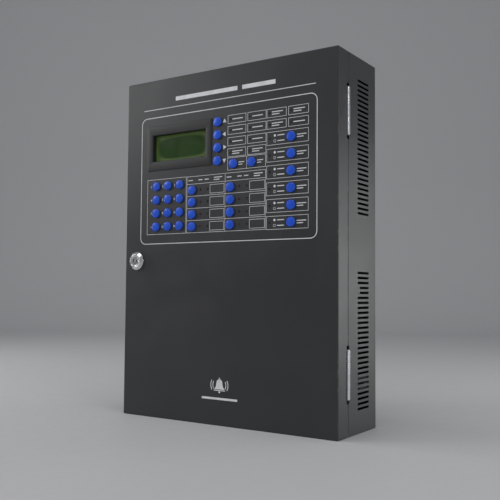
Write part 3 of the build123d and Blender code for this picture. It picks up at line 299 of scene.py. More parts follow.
# %% Effect: fine grain
def make_grain():
    """Two sizes of noise: a soft orange peel for the bump, and a finer speckle that varies the gloss."""
    inputs = [("Place", "Vector", None), ("Size", "Float", 900.0)]
    group, given, out = new_group("fine_grain", inputs, ["Height", "Speckle"])
    place, size = given.outputs["Place"], given.outputs["Size"]
    peel = add(group, "TexNoise", None, {"Vector": place, "Scale": size, "Detail": 3.0, "Roughness": 0.55})
    finer = maths(group, "MULTIPLY", size, 3.7)
    speckle = add(group, "TexNoise", None, {"Vector": place, "Scale": finer, "Detail": 1.0})
    group.links.new(peel.outputs["Fac"], out.inputs["Height"])
    group.links.new(speckle.outputs["Fac"], out.inputs["Speckle"])
    return group


# %% Effect: wear along edges
def make_edge_wear():
    """A mask along the edges of a box, broken up by noise.

    For a point, take its distances to the nearer face of the box along X, Y and Z. On a face the
    smallest is zero, so the second smallest is the distance to the nearest edge: the larger of
    min(a, b) and min(max(a, b), c). The mask falls from one to zero as that grows to Width times noise.
    """
    inputs = [("Place", "Vector", None), ("Low", "Vector", None), ("High", "Vector", None),
              ("Width", "Float", 0.002), ("Breakup", "Float", 120.0)]
    group, given, out = new_group("edge_wear", inputs, ["Mask"])
    place = given.outputs["Place"]
    from_low = add(group, "VectorMath", {"operation": "SUBTRACT"}, {0: place, 1: given.outputs["Low"]})
    from_high = add(group, "VectorMath", {"operation": "SUBTRACT"}, {0: given.outputs["High"], 1: place})
    nearer = add(group, "VectorMath", {"operation": "MINIMUM"},
                 {0: from_low.outputs[0], 1: from_high.outputs[0]})
    a, b, c = add(group, "SeparateXYZ", None, {0: nearer.outputs[0]}).outputs[:]
    to_edge = maths(group, "MAXIMUM", maths(group, "MINIMUM", a, b),
                    maths(group, "MINIMUM", maths(group, "MAXIMUM", a, b), c))
    broken = add(group, "TexNoise", None,
                 {"Vector": place, "Scale": given.outputs["Breakup"], "Detail": 5.0, "Roughness": 0.65})
    patchy = between(group, broken.outputs["Fac"], 0.42, 0.72)
    reach = maths(group, "ADD", maths(group, "MULTIPLY", given.outputs["Width"], patchy), 1e-6)
    group.links.new(between(group, to_edge, 0.0, reach, 1.0, 0.0), out.inputs["Mask"])
    return group


# %% Effect: smudges and scratches
def make_smudges():
    """Large soft patches, as hands and cleaning leave on a painted or polished face."""
    inputs = [("Place", "Vector", None), ("Size", "Float", 14.0)]
    group, given, out = new_group("smudges", inputs, ["Mask"])
    patches = add(group, "TexNoise", None,
                  {"Vector": given.outputs["Place"], "Scale": given.outputs["Size"], "Detail": 6.0,
                   "Roughness": 0.62, "Distortion": 0.8})
    group.links.new(between(group, patches.outputs["Fac"], 0.35, 0.7), out.inputs["Mask"])
    return group


def make_scratches():
    """Fine lines: noise squeezed along one direction, with only its peaks kept."""
    inputs = [("Place", "Vector", None), ("Amount", "Float", 0.5)]
    group, given, out = new_group("scratches", inputs, ["Mask"])
    total = None
    for turn, scale in ((0.5, (30.0, 30.0, 2600.0)), (2.1, (2200.0, 40.0, 40.0))):
        squeezed = add(group, "Mapping", None,
                       {"Vector": given.outputs["Place"], "Rotation": (0.0, turn, 0.0), "Scale": scale})
        lines = add(group, "TexNoise", None, {"Vector": squeezed.outputs[0], "Scale": 1.0, "Detail": 2.0})
        peaks = between(group, lines.outputs["Fac"], 0.66, 0.74)
        total = peaks if total is None else maths(group, "MAXIMUM", total, peaks)
    group.links.new(maths(group, "MULTIPLY", total, given.outputs["Amount"]), out.inputs["Mask"])
    return group


effects = {g.name: g for g in (make_grain(), make_edge_wear(), make_smudges(), make_scratches())}
print("shared effects:", sorted(effects))


def effect(tree, name, place, **values):
    """One shared effect placed in a material, reading the given coordinates."""
    inputs = {"Place": place, **{key.capitalize(): value for key, value in values.items()}}
    return add(tree, "Group", {"node_tree": effects[name]}, inputs)


def new_finish(name, **constants):
    """A material with one Principled shader, its constant values, and its Object coordinates."""
    made = bpy.data.materials.new(name)
    made.use_nodes = True
    tree = made.node_tree
    shader = tree.nodes["Principled BSDF"]
    for key, value in constants.items():
        shader.inputs[key.replace("_", " ")].default_value = value
    place = add(tree, "TexCoord").outputs["Object"]
    return made, tree, shader, place


def bump(tree, shader, height, distance, strength=1.0):
    """Puts a height, in metres once scaled by distance, on a shader's normal."""
    node = add(tree, "Bump", None, {"Height": height, "Distance": distance, "Strength": strength})
    tree.links.new(node.outputs["Normal"], shader.inputs["Normal"])


def feed(tree, shader, **sockets):
    """Links sockets to a shader's inputs."""
    for name, socket in sockets.items():
        tree.links.new(socket, shader.inputs[name.replace("_", " ")])

# %% [markdown]
# ## Powder-coated steel
# The door and cabinet are sheet steel with a charcoal powder coat. Close up it has a soft orange peel and
# a fine speckle. It is glossy enough to show a soft reflection, it has faint hand marks, and the coat is
# rubbed thin along some of the folds, where lighter primer shows.

# %% Finish: powder coat
def powder_coat(name, low, high):
    """Charcoal powder coat over steel, worn along the edges of the box from low to high."""
    made, tree, shader, place = new_finish(name, IOR=1.5)
    grain = effect(tree, "fine_grain", place, size=1100.0)
    smudge = effect(tree, "smudges", place, size=9.0).outputs[0]
    wear = effect(tree, "edge_wear", place, low=low, high=high, width=0.0016, breakup=70.0).outputs[0]
    speckle = grain.outputs["Speckle"]
    coat = mixed(tree, speckle, (0.020, 0.0205, 0.0225), (0.030, 0.0305, 0.0325))
    coat = mixed(tree, maths(tree, "MULTIPLY", smudge, 0.25), coat, (0.040, 0.040, 0.041))
    rubbed = maths(tree, "MULTIPLY", wear, 0.75)
    rough = maths(tree, "ADD", between(tree, speckle, 0.3, 0.7, 0.30, 0.40),
                  maths(tree, "MULTIPLY", smudge, 0.07))
    feed(tree, shader, Base_Color=mixed(tree, rubbed, coat, (0.17, 0.165, 0.155)), Roughness=rough,
         Metallic=maths(tree, "MULTIPLY", rubbed, 0.35))
    bump(tree, shader, grain.outputs["Height"], 0.0002, 0.5)
    return made


door_coat = powder_coat("door_powder_coat", door_low, door_high)
cabinet_coat = powder_coat("cabinet_powder_coat", cabinet_low, cabinet_high)

# %% [markdown]
# ## Plated and polished metal
# Hinges, strap and nuts are zinc plated: bright, bluish, and a little cloudy. The lock is chromed and
# polished, with fine scratches. Pillars are nickel-plated brass, and the power supply's case is plain
# aluminium with a faint rolled grain.

# %% Finish: metals
def plain_metal(name, light, dark, low_rough, high_rough, scratch=0.3, size=60.0):
    """A metal whose colour and gloss drift in soft clouds, with fine scratches."""
    made, tree, shader, place = new_finish(name, Metallic=1.0)
    cloud = effect(tree, "smudges", place, size=size).outputs[0]
    lines = effect(tree, "scratches", place, amount=scratch).outputs[0]
    grain = effect(tree, "fine_grain", place, size=2500.0)
    rough = maths(tree, "ADD", between(tree, cloud, 0.0, 1.0, low_rough, high_rough),
                  maths(tree, "MULTIPLY", lines, 0.25))
    feed(tree, shader, Base_Color=mixed(tree, cloud, light, dark), Roughness=rough)
    bump(tree, shader, maths(tree, "ADD", lines, grain.outputs["Height"]), 0.00003, 0.4)
    return made


zinc = plain_metal("zinc_plate", (0.66, 0.68, 0.70), (0.50, 0.51, 0.52), 0.22, 0.42)
chrome = plain_metal("lock_chrome", (0.78, 0.78, 0.79), (0.62, 0.62, 0.63), 0.07, 0.18, 0.5, 110.0)
nickel = plain_metal("nickel_brass", (0.68, 0.64, 0.55), (0.55, 0.50, 0.40), 0.2, 0.35)
solder = plain_metal("bright_solder", (0.72, 0.73, 0.74), (0.55, 0.56, 0.58), 0.18, 0.4, 0.1, 300.0)
steel_can = plain_metal("steel_can", (0.70, 0.70, 0.70), (0.58, 0.58, 0.59), 0.18, 0.3, 0.3, 200.0)


def rolled_aluminium(name):
    """Mill-finish sheet: a metal with long faint lines along X, from noise squeezed along Z."""
    made, tree, shader, place = new_finish(name, Metallic=1.0)
    squeezed = add(tree, "Mapping", None, {"Vector": place, "Scale": (12.0, 900.0, 1800.0)})
    lines = add(tree, "TexNoise", None, {"Vector": squeezed.outputs[0], "Scale": 1.0, "Detail": 4.0})
    smudge = effect(tree, "smudges", place, size=30.0).outputs[0]
    streak = lines.outputs["Fac"]
    feed(tree, shader, Base_Color=mixed(tree, streak, (0.60, 0.61, 0.62), (0.76, 0.77, 0.78)),
         Roughness=maths(tree, "ADD", between(tree, streak, 0.3, 0.7, 0.28, 0.4),
                         maths(tree, "MULTIPLY", smudge, 0.12)))
    bump(tree, shader, streak, 0.00004, 0.5)
    return made


aluminium = rolled_aluminium("mill_aluminium")

# %% [markdown]
# ## Moulded plastic
# The keys are glossy saturated blue. The display's frame, switches and connectors are moulded with a
# fine texture. Each plastic gets a slow drift of shade, a speckle in its gloss, and a very fine bump,
# because a moulding is never one even colour.

# %% Finish: moulded plastics
def moulded(name, shade, drift, low_rough, high_rough, size=1600.0, depth=0.00005, **constants):
    """Moulded plastic: the shade drifts to a second one in soft patches, over a fine grain."""
    made, tree, shader, place = new_finish(name, IOR=1.49, **constants)
    grain = effect(tree, "fine_grain", place, size=size)
    patch = effect(tree, "smudges", place, size=45.0).outputs[0]
    speckle = between(tree, grain.outputs["Speckle"], 0.3, 0.7, low_rough, high_rough)
    rough = maths(tree, "ADD", speckle, maths(tree, "MULTIPLY", patch, 0.06))
    feed(tree, shader, Base_Color=mixed(tree, patch, shade, drift), Roughness=rough)
    bump(tree, shader, grain.outputs["Height"], depth, 0.3)
    return made


key_blue = moulded("key_blue", (0.003, 0.075, 0.62), (0.004, 0.090, 0.72), 0.20, 0.28, 700.0, 0.00003,
                   Coat_Weight=0.25, Coat_Roughness=0.12)
switch_black = moulded("switch_black", (0.018, 0.018, 0.019), (0.026, 0.026, 0.027), 0.4, 0.55)
epoxy_black = moulded("epoxy_black", (0.020, 0.020, 0.021), (0.032, 0.031, 0.031), 0.5, 0.65, 2600.0)
terminal_green = moulded("terminal_green", (0.016, 0.20, 0.075), (0.022, 0.25, 0.095), 0.38, 0.5)
terminal_cream = moulded("terminal_cream", (0.62, 0.58, 0.47), (0.70, 0.66, 0.54), 0.4, 0.55)
relay_blue = moulded("relay_blue", (0.015, 0.075, 0.30), (0.02, 0.09, 0.36), 0.22, 0.34)
white_plastic = moulded("white_plastic", (0.66, 0.66, 0.63), (0.74, 0.74, 0.71), 0.4, 0.5)
red_plastic = moulded("red_plastic", (0.42, 0.02, 0.015), (0.50, 0.03, 0.02), 0.35, 0.5)
sleeve_black = moulded("sleeve_black", (0.015, 0.015, 0.02), (0.022, 0.022, 0.03), 0.25, 0.35)
amber = moulded("amber_film", (0.55, 0.30, 0.04), (0.62, 0.36, 0.06), 0.3, 0.45)


def worn_plastic(name, shade, drift, low, high, rough, width=0.0012):
    """Textured plastic that has been polished and lightened along the edges of a box."""
    made, tree, shader, place = new_finish(name, IOR=1.49)
    grain = effect(tree, "fine_grain", place, size=1500.0)
    wear = effect(tree, "edge_wear", place, low=low, high=high, width=width, breakup=160.0).outputs[0]
    patch = effect(tree, "smudges", place, size=25.0).outputs[0]
    worn = maths(tree, "MULTIPLY", wear, 0.6)
    lighter = tuple(min(1.0, 3.2 * c + 0.02) for c in drift)
    base = mixed(tree, worn, mixed(tree, patch, shade, drift), lighter)
    grainy = between(tree, grain.outputs["Speckle"], 0.3, 0.7, rough, rough + 0.12)
    feed(tree, shader, Base_Color=base,
         Roughness=maths(tree, "SUBTRACT", grainy, maths(tree, "MULTIPLY", worn, 0.15)))
    bump(tree, shader, grain.outputs["Height"], 0.00012, 0.4)
    return made


bezel_low, bezel_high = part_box("lcd_bezel")
battery_low, battery_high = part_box("batteries")
bezel_black = worn_plastic("bezel_black", (0.011, 0.0113, 0.0125), (0.014, 0.0143, 0.0155), bezel_low,
                           bezel_high, 0.38, 0.0006)
battery_grey = worn_plastic("battery_grey", (0.045, 0.047, 0.052), (0.058, 0.060, 0.066), battery_low,
                            battery_high, 0.48)

# %% [markdown]
# ## Ink, lamps and the display
# The legend is screen-printed: a pale ink that lies slightly proud of the coat and is a little thin in
# places. Lamps are tinted epoxy. The display is unlit: an olive-green field with a painted soft shadow
# that darkens the middle of its viewing area and leaves its rim lighter, with a faint grid of 0.5 mm
# dots, behind a clear sheet. A coat on the shader gives the sheet's reflection.

# %% Finish: ink, lamps and display
def screen_ink(name, shade, thin):
    """Printed ink whose shade drops where it is thin."""
    made, tree, shader, place = new_finish(name, IOR=1.45)
    grain = effect(tree, "fine_grain", place, size=2300.0)
    patch = effect(tree, "smudges", place, size=55.0).outputs[0]
    thinness = maths(tree, "MULTIPLY", patch, grain.outputs["Speckle"])
    feed(tree, shader, Base_Color=mixed(tree, thinness, shade, thin),
         Roughness=between(tree, grain.outputs["Speckle"], 0.3, 0.7, 0.42, 0.6))
    bump(tree, shader, grain.outputs["Height"], 0.00002, 0.3)
    return made


ink = screen_ink("legend_ink", (0.80, 0.81, 0.82), (0.55, 0.56, 0.57))
board_ink = screen_ink("board_ink", (0.70, 0.71, 0.68), (0.52, 0.53, 0.50))
label_paper = screen_ink("label_paper", (0.55, 0.56, 0.55), (0.44, 0.45, 0.44))


# how far right of a zone key its two lamps stand, in millimetres
LAMP_ASIDE = (14.4, 27.3)


def tinted_lamps(name):
    """Epoxy lamps: smoky amber, and red in the columns whose X lies right of a zone key."""
    made, tree, shader, place = new_finish(name, IOR=1.53, Coat_Weight=0.6, Coat_Roughness=0.05)
    x = add(tree, "SeparateXYZ", None, {0: place}).outputs[0]
    shade = (0.07, 0.06, 0.045)
    for key in ("zone_key_1", "zone_key_5"):
        beside = add(tree, "Math", {"operation": "COMPARE"},
                     {0: x, 1: key_at[key].x + LAMP_ASIDE[0] * MM, 2: 2.2 * MM})
        shade = mixed(tree, beside.outputs[0], shade, (0.16, 0.018, 0.012))
    grain = effect(tree, "fine_grain", place, size=1800.0)
    feed(tree, shader, Base_Color=mixed(tree, grain.outputs["Speckle"], shade, (0.05, 0.03, 0.025)),
         Roughness=between(tree, grain.outputs["Speckle"], 0.3, 0.7, 0.1, 0.2))
    return made


lamp_epoxy = tinted_lamps("lamp_epoxy")
glass_low, glass_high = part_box("lcd_glass")
display_centre = (glass_low + glass_high) / 2
DOT_PITCH = 0.508 * MM


def display_field(name):
    """Olive field with a painted soft shadow darkening a rounded oblong in its middle; the fractions of x and
    z over a pitch give the dots.
    """
    made, tree, shader, place = new_finish(name, IOR=1.32, Coat_Weight=0.12, Coat_Roughness=0.1)
    centred = add(tree, "Mapping", {"vector_type": "POINT"},
                  {"Vector": place, "Location": tuple(-display_centre)}).outputs[0]
    x, _, z = add(tree, "SeparateXYZ", None, {0: centred}).outputs[:]
    across, up = maths(tree, "DIVIDE", x, 0.046), maths(tree, "DIVIDE", z, 0.0165)
    shadow_spread = maths(tree, "ADD", maths(tree, "POWER", maths(tree, "ABSOLUTE", across), 4.0),
                   maths(tree, "POWER", maths(tree, "ABSOLUTE", up), 4.0))
    # painted soft shadow: 0 inside the rounded oblong, where the field is darkened, rising to 1 towards the
    # lighter rim
    rim = between(tree, shadow_spread, 0.45, 1.25)
    lines = []
    for value in (x, z):
        share = maths(tree, "FRACT", maths(tree, "DIVIDE", value, DOT_PITCH))
        lines.append(maths(tree, "COMPARE", share, 0.5, 0.40))
    dots = maths(tree, "MULTIPLY", lines[0], lines[1])
    # field is the darker colour inside the painted shadow, with the dots; edge is the lighter rim colour
    # outside it
    field = mixed(tree, dots, (0.020, 0.062, 0.005), (0.016, 0.052, 0.004))
    grain = effect(tree, "smudges", place, size=35.0).outputs[0]
    edge = mixed(tree, grain, (0.135, 0.215, 0.060), (0.115, 0.190, 0.050))
    feed(tree, shader, Base_Color=mixed(tree, rim, field, edge),
         Roughness=between(tree, grain, 0.0, 1.0, 0.16, 0.24))
    return made


display_green = display_field("display_field")

# %% [markdown]
# ## Circuit boards
# A board is green solder mask over copper. Tracks show as slightly lighter, slightly raised green lines
# that run straight and turn square, with small plated holes between them. Brick patterns at two sizes
# give the tracks, and the cells of a regular Voronoi pattern give the holes.

# %% Finish: circuit board
def circuit_board(name, mask, track):
    """Green board with tracks and plated holes, mapped so that its pattern lies in the XZ plane."""
    made, tree, shader, place = new_finish(name, IOR=1.5, Coat_Weight=0.35, Coat_Roughness=0.15)
    flat = add(tree, "Mapping", None, {"Vector": place, "Rotation": (-pi / 2, 0.0, 0.0)}).outputs[0]
    paths = None
    for scale, width, turn in ((55.0, 0.018, 0.0), (90.0, 0.03, pi / 2)):
        turned_flat = add(tree, "Mapping", None, {"Vector": flat, "Rotation": (0.0, 0.0, turn)}).outputs[0]
        brick = add(tree, "TexBrick", {"offset": 0.37, "squash": 1.6, "squash_frequency": 3},
                    {"Vector": turned_flat, "Scale": scale, "Mortar Size": width, "Mortar Smooth": 0.1,
                     "Brick Width": 1.3, "Row Height": 0.21})
        paths = brick.outputs["Fac"] if paths is None else maths(tree, "MAXIMUM", paths, brick.outputs["Fac"])
    cells = add(tree, "TexVoronoi", {"voronoi_dimensions": "2D"},
                {"Vector": flat, "Scale": 170.0, "Randomness": 0.85})
    holes = between(tree, cells.outputs["Distance"], 0.07, 0.10, 1.0, 0.0)
    smudge = effect(tree, "smudges", place, size=20.0).outputs[0]
    base = mixed(tree, paths, mixed(tree, smudge, mask, tuple(0.8 * c for c in mask)), track)
    feed(tree, shader, Base_Color=mixed(tree, holes, base, (0.55, 0.50, 0.36)),
         Metallic=maths(tree, "MULTIPLY", holes, 0.9),
         Roughness=between(tree, smudge, 0.0, 1.0, 0.28, 0.42))
    bump(tree, shader, maths(tree, "ADD", paths, holes), 0.00005, 0.5)
    return made


board_green = circuit_board("board_green", (0.010, 0.085, 0.034), (0.022, 0.150, 0.058))
print(len(bpy.data.materials), "finishes so far")

# %% [markdown]
# ## Finishes on the CAD nodes
# Each node gets the finish of its material. A node with parts of several materials, such as the display
# module or the power supply, has its faces told apart by where they are.

# %% Dress the CAD nodes
def dress(node, finish, *others):
    """Gives a node its finish. Each other finish goes to the faces whose middle passes its test."""
    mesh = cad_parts[node].data
    mesh.materials.clear()
    mesh.materials.append(finish)
    index = np.zeros(len(mesh.polygons), np.int32)
    centres = np.zeros(3 * len(mesh.polygons))
    mesh.polygons.foreach_get("center", centres)
    x, y, z = centres.reshape(-1, 3).T
    for number, (other, test) in enumerate(others, 1):
        mesh.materials.append(other)
        index[test(x, y, z)] = number
    mesh.polygons.foreach_set("material_index", index)


terminals_low, terminals_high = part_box("field_terminals")
supply_low, supply_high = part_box("power_supply_board")
mains_low, mains_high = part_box("mains_terminal_block")
lamps_low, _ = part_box("indicator_leds")
board_low, board_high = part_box("display_board")
main_low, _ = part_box("main_board")
supply_seat = supply_high.y - 6.0 * MM


def terminal_screws(x, y, z):
    """Faces of the screws in their wells: near the axis of a way, and at the wells' depth."""
    ways, blocks = 6, 8
    span = ways * 5.08 * MM
    starts = np.linspace(terminals_low.x, terminals_high.x - span, blocks)
    axes = (starts[:, None] + (np.arange(ways) + 0.5) * span / ways).ravel()
    nearest = np.abs(x[:, None] - axes).min(axis=1)
    middle_z = (terminals_low.z + terminals_high.z) / 2 - 1.0 * MM
    deep = (y > terminals_low.y + 3.0 * MM) & (y < terminals_low.y + 4.95 * MM)
    return deep & (np.hypot(nearest, z - middle_z) < 1.75 * MM)


for name in ("hinge_cabinet_leaves", "hinge_pins", "hinge_door_leaves", "main_board_fixings", "battery_strap",
             "cabinet_nuts", "lock_cam"):
    dress(name, zinc)
dress("cabinet_body", cabinet_coat)
dress("door_panel", door_coat)
dress("lock_nut", chrome)
dress("lock_plug", chrome)
dress("lcd_bezel", bezel_black)
dress("main_board", board_green)
dress("display_board", board_green)
dress("display_board_fixings", nickel, (zinc, lambda x, y, z: y > board_low.y + 0.1 * MM))
dress("field_terminals", terminal_green, (zinc, terminal_screws))
dress("board_relays", relay_blue)
dress("power_supply_case", aluminium)
dress("power_supply_cover", aluminium)
dress("power_supply_board", board_green,
      (amber, lambda x, y, z: (y < supply_seat) & (x > -0.0955) & (x < -0.0595)),
      (aluminium, lambda x, y, z: (y < supply_seat) & (x > -0.0555) & (x < -0.0495)),
      (sleeve_black, lambda x, y, z: (y < supply_seat) & (x < -0.1165)),
      (steel_can, lambda x, y, z: (y < supply_low.y + 1.1 * MM) & (x < -0.1165)),
      (epoxy_black, lambda x, y, z: (y < supply_seat) & (x > -0.0165)),
      (zinc, lambda x, y, z: (y < supply_seat - 6.9 * MM) & (np.abs(x + 0.009) < 3.3 * MM)
       & (y > supply_seat - 9.7 * MM)))
dress("mains_terminal_block", terminal_cream,
      (zinc, lambda x, y, z: (np.abs(z - (mains_low.z + mains_high.z) / 2) < 3.1 * MM)
       & (x < mains_high.x - 0.0125) & (y > mains_low.y + 14.9 * MM) & (y < mains_low.y + 18.1 * MM)),
      (sleeve_black, lambda x, y, z: y < mains_low.y + 8.99 * MM))
dress("batteries", battery_grey, (steel_can, lambda x, y, z: z > battery_high.z - 5.99 * MM))
dress("lcd_module", steel_can, (board_green, lambda x, y, z: y > board_low.y - 2.15 * MM),
      (white_plastic, lambda x, y, z: (y < board_low.y - 2.15 * MM) & (y > glass_high.y - 0.01 * MM)
       & (np.abs(z - display_centre.z) < 0.0253) & (np.abs(x - display_centre.x) < 0.0573)))
dress("lcd_glass", display_green)
dress("key_switches", switch_black)
dress("indicator_leds", lamp_epoxy, (solder, lambda x, y, z: y > lamps_low.y + 5.31 * MM))
dress("sounder", epoxy_black)
print("dressed", sum(1 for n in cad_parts.values() if n.data.materials), "nodes")

# %% [markdown]
# ## Keys
# A key cap is one profile turned about its own axis: a slightly domed top, a rounded rim, a straight side
# through the door, a wider foot behind it, and a stem to its switch. The dome is part of a sphere: at
# radius r its top is lower than the middle by r squared over twice the sphere's radius.

# %% Key caps
KEY_RADIUS = 6.5 * MM
KEY_CROWN = 0.35 * MM
KEY_RIM = 1.05 * MM


def key_cap(node):
    """A key's profile turned about its axis, from the middle of the dome round to the stem's end."""
    low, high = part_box(node)
    x, z = key_at[node].x, key_at[node].z
    inside = door_face + 1.3 * MM
    flat = KEY_RADIUS - KEY_RIM
    r = np.linspace(0.0, flat, 8)
    dome = np.stack([r, low.y + KEY_CROWN * (r / flat) ** 2], axis=1)
    lean = np.degrees(np.arctan(2 * KEY_CROWN / flat))
    rim = arc((flat, low.y + KEY_CROWN + KEY_RIM), KEY_RIM, -90 + lean, 0, 7)
    foot = (high.x - low.x) / 2
    rest = [(KEY_RADIUS, inside), (foot - 0.15 * MM, inside), (foot, inside + 0.15 * MM),
            (foot, inside + 1.0 * MM), (KEY_RADIUS - 1.2 * MM, inside + 1.0 * MM),
            (KEY_RADIUS - 1.2 * MM, low.y + 1.6 * MM),
            (2.3 * MM, low.y + 1.6 * MM), (2.3 * MM, high.y - 0.3 * MM), (2.0 * MM, high.y), (0.0, high.y)]
    return turned(np.concatenate([dome, rim, rest]), x, z, 40)


for name in key_names:
    cap = piece(name + "_cap", key_cap(name), key_blue, name, sharp=40)
    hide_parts(name)
print(len(key_names), "key caps of", len(cap.data.polygons), "faces each")

# %% [markdown]
# ## Display frame
# The frame round the display is one closed band of rounded rectangles. It runs up its outer edge, over a
# small round, across its face, down into the window past a softened lip, back to the module, and round
# the outside of the tube to the door again.

# %% Display frame
window_x, window_z = 49.2 * MM, 19.5 * MM
half_x, half_z = (bezel_high.x - bezel_low.x) / 2, (bezel_high.z - bezel_low.z) / 2
bezel_middle = (bezel_low + bezel_high) / 2
face_y, tube_end = bezel_low.y, bezel_high.y
edge = arc((0.0, 0.0), 1.0, 0, 90, 4)
sections = [(half_x, half_z, 1.4 * MM, door_face)]
for across, up in edge:
    # the outer round: it moves in by 0.5 mm as it rises the last 0.5 mm
    step = 0.5 * MM * (1 - across)
    sections.append((half_x - step, half_z - step, 1.4 * MM - step, face_y + 0.5 * MM * (1 - up)))
LIP = 1.1 * MM
for across, up in edge[::-1]:
    # the window's lip: it moves in by 1.1 mm as it goes down by as much
    step = LIP * (1 - across)
    sections.append((window_x + LIP - LIP * across, window_z + LIP - LIP * across,
                     1.0 * MM + LIP * (1 - across), face_y + LIP * (1 - up)))
wall = 2.0 * MM
sections += [(window_x, window_z, 1.0 * MM, tube_end), (window_x + wall, window_z + wall, 1.0 * MM, tube_end),
             (window_x + wall, window_z + wall, 1.0 * MM, door_face)]
display_frame = piece("display_frame", framed(sections, bezel_middle.x, bezel_middle.z, close_rows=True),
                      bezel_black, "door", sharp=30)
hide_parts("lcd_bezel")
print("display frame", len(display_frame.data.polygons), "faces")

# %% [markdown]
# ## Lock
# The lock's case is turned: a rolled chrome head with a dished face, a recess round the plug, and a
# threaded body behind the door. The thread's radius follows a cosine along the body.

# %% Lock
lock_low, lock_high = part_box("lock_barrel")
lock_middle = (lock_low + lock_high) / 2
HEAD, BODY, BORE = 13.5 * MM, 9.5 * MM, 6.05 * MM
head_face = lock_low.y
lip = [(BORE, head_face + 0.9 * MM), (BORE + 0.5 * MM, head_face + 0.45 * MM),
       (BORE + 1.4 * MM, head_face + 0.35 * MM)]
bead = arc((9.2 * MM, head_face + 0.9 * MM), 0.9 * MM, -150, -35, 7)
shoulder = [(11.2 * MM, head_face + 1.55 * MM), (12.4 * MM, head_face + 2.6 * MM)]
skirt = arc((HEAD - 1.2 * MM, head_face + 4.0 * MM), 1.2 * MM, -60, 0, 5)
under = [(HEAD, door_face - 0.35 * MM), (HEAD - 0.35 * MM, door_face)]
thread_y = np.linspace(door_face + 5.3 * MM, lock_high.y - 0.8 * MM, 181)
thread_r = BODY - 0.28 * MM * (1 + np.cos(2 * pi * (thread_y - thread_y[0]) / (1.0 * MM) + pi)) / 2
thread = np.stack([thread_r, thread_y], axis=1)
body = [(BODY, door_face), (BODY, thread_y[0] - 0.1 * MM)]
back = [(BODY - 0.8 * MM, lock_high.y), (BORE, lock_high.y), (BORE, head_face + 0.9 * MM)]
barrel = piece("lock_case", turned(np.concatenate([lip, bead, shoulder, skirt, under, body, thread, back]),
                                   lock_middle.x, lock_middle.z, 64), chrome, "door", sharp=50)
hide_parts("lock_barrel")
print("lock case", len(barrel.data.polygons), "faces")

# %% [markdown]
# ## Legend
# The legend is printed: a heading bar over a rule, a frame with rounded corners round the controls, a box
# for each lamp and a table of zones. It has no words: each one is a plain bar. Only the number keys have
# digits and signs beside them, and the arrow keys have triangles. Positions are in millimetres, x from the
# door's middle and t down from its top edge. Each line is a ribbon of constant width, and digits are
# outlines from the built-in font, kept as arrays. All of it stands 0.03 mm proud.

# %% Ink helpers
INK_FRONT, INK_BACK = door_face - 0.03 * MM, door_face + 0.01 * MM


def to_door(points):
    """Points of (x, t) in millimetres made into (x, z) in metres."""
    points = np.atleast_2d(np.asarray(points, float))
    return np.stack([points[:, 0] * MM, door_high.z - points[:, 1] * MM], axis=1)


def rule(start, end, width):
    """A straight printed line."""
    return ribbon(to_door([start, end]), width * MM, INK_FRONT, INK_BACK, closed=False)


def ring_of(left, top, right, bottom, corner, width):
    """A printed rectangle with rounded corners, as a ribbon along its middle line."""
    path = rounded((right - left) / 2, (bottom - top) / 2, max(corner, 0.05), 6 if corner > 2 else 1)
    path = path + [(left + right) / 2, (top + bottom) / 2]
    return ribbon(to_door(path), width * MM, INK_FRONT, INK_BACK)


def spot(x, t, radius, width=None, steps=20):
    """A printed disc, or a ring when it is given a line width."""
    path = to_door(arc((x, t), radius, 0, 360, steps)[:-1])
    if width is None:
        return plate(path, INK_FRONT, INK_BACK)
    return ribbon(path, width * MM, INK_FRONT, INK_BACK)


def digits(text, weight=0.0):
    """A number's outline as points (x, up, depth), with depth from 0 to 1, and its triangles."""
    curve = bpy.data.curves.new("digits", "FONT")
    curve.body, curve.resolution_u, curve.extrude, curve.offset = text, 3, 0.5, weight
    holder = bpy.data.objects.new("digits", curve)
    bpy.context.scene.collection.objects.link(holder)
    mesh = bpy.data.meshes.new_from_object(holder.evaluated_get(bpy.context.evaluated_depsgraph_get()))
    mesh.calc_loop_triangles()
    points = np.zeros(3 * len(mesh.vertices))
    triangles = np.zeros(3 * len(mesh.loop_triangles), np.int64)
    mesh.vertices.foreach_get("co", points)
    mesh.loop_triangles.foreach_get("vertices", triangles)
    bpy.data.objects.remove(holder)
    bpy.data.curves.remove(curve)
    bpy.data.meshes.remove(mesh)
    return points.reshape(-1, 3) + [0, 0, 0.5], triangles.reshape(-1, 3)


def key_number(text, left, middle, height, room):
    """A digit or sign beside a key, about a middle height and three tenths of the way along its room."""
    points, triangles = digits(text, 0.012)
    low, high = points.min(axis=0), points.max(axis=0)
    scale = height / (high[1] - low[1])
    wide = (high[0] - low[0]) * scale
    x = left + (points[:, 0] - low[0]) * scale + 0.3 * (room - wide)
    t = middle - height / 2 + (high[1] - points[:, 1]) * scale
    flat = to_door(np.stack([x, t], axis=1))
    return np.insert(flat, 1, INK_BACK + (INK_FRONT - INK_BACK) * points[:, 2], axis=1), [triangles]


def word_bars(left, middle, room, lines=1, height=1.25, leading=3.2):
    """Plain bars about a middle height: one nine tenths of the room long, and a shorter one below it."""
    middles = middle + (np.arange(lines) - (lines - 1) / 2) * leading
    return [rule((left, t), (left + room * length, t), height) for t, length in zip(middles, (0.9, 0.62))]


# %% Heading, frame and badge
heading = [rule((-86.0, 33.0), (24.0, 33.0), 6.0), rule((32.0, 33.0), (86.0, 33.0), 6.0)]
heading += [rule((-146.8, 44.7), (147.3, 44.7), 1.0), ring_of(-150.3, 57.0, 149.5, 246.0, 9.5, 1.1)]
piece("legend_heading", together(heading), ink, "door")

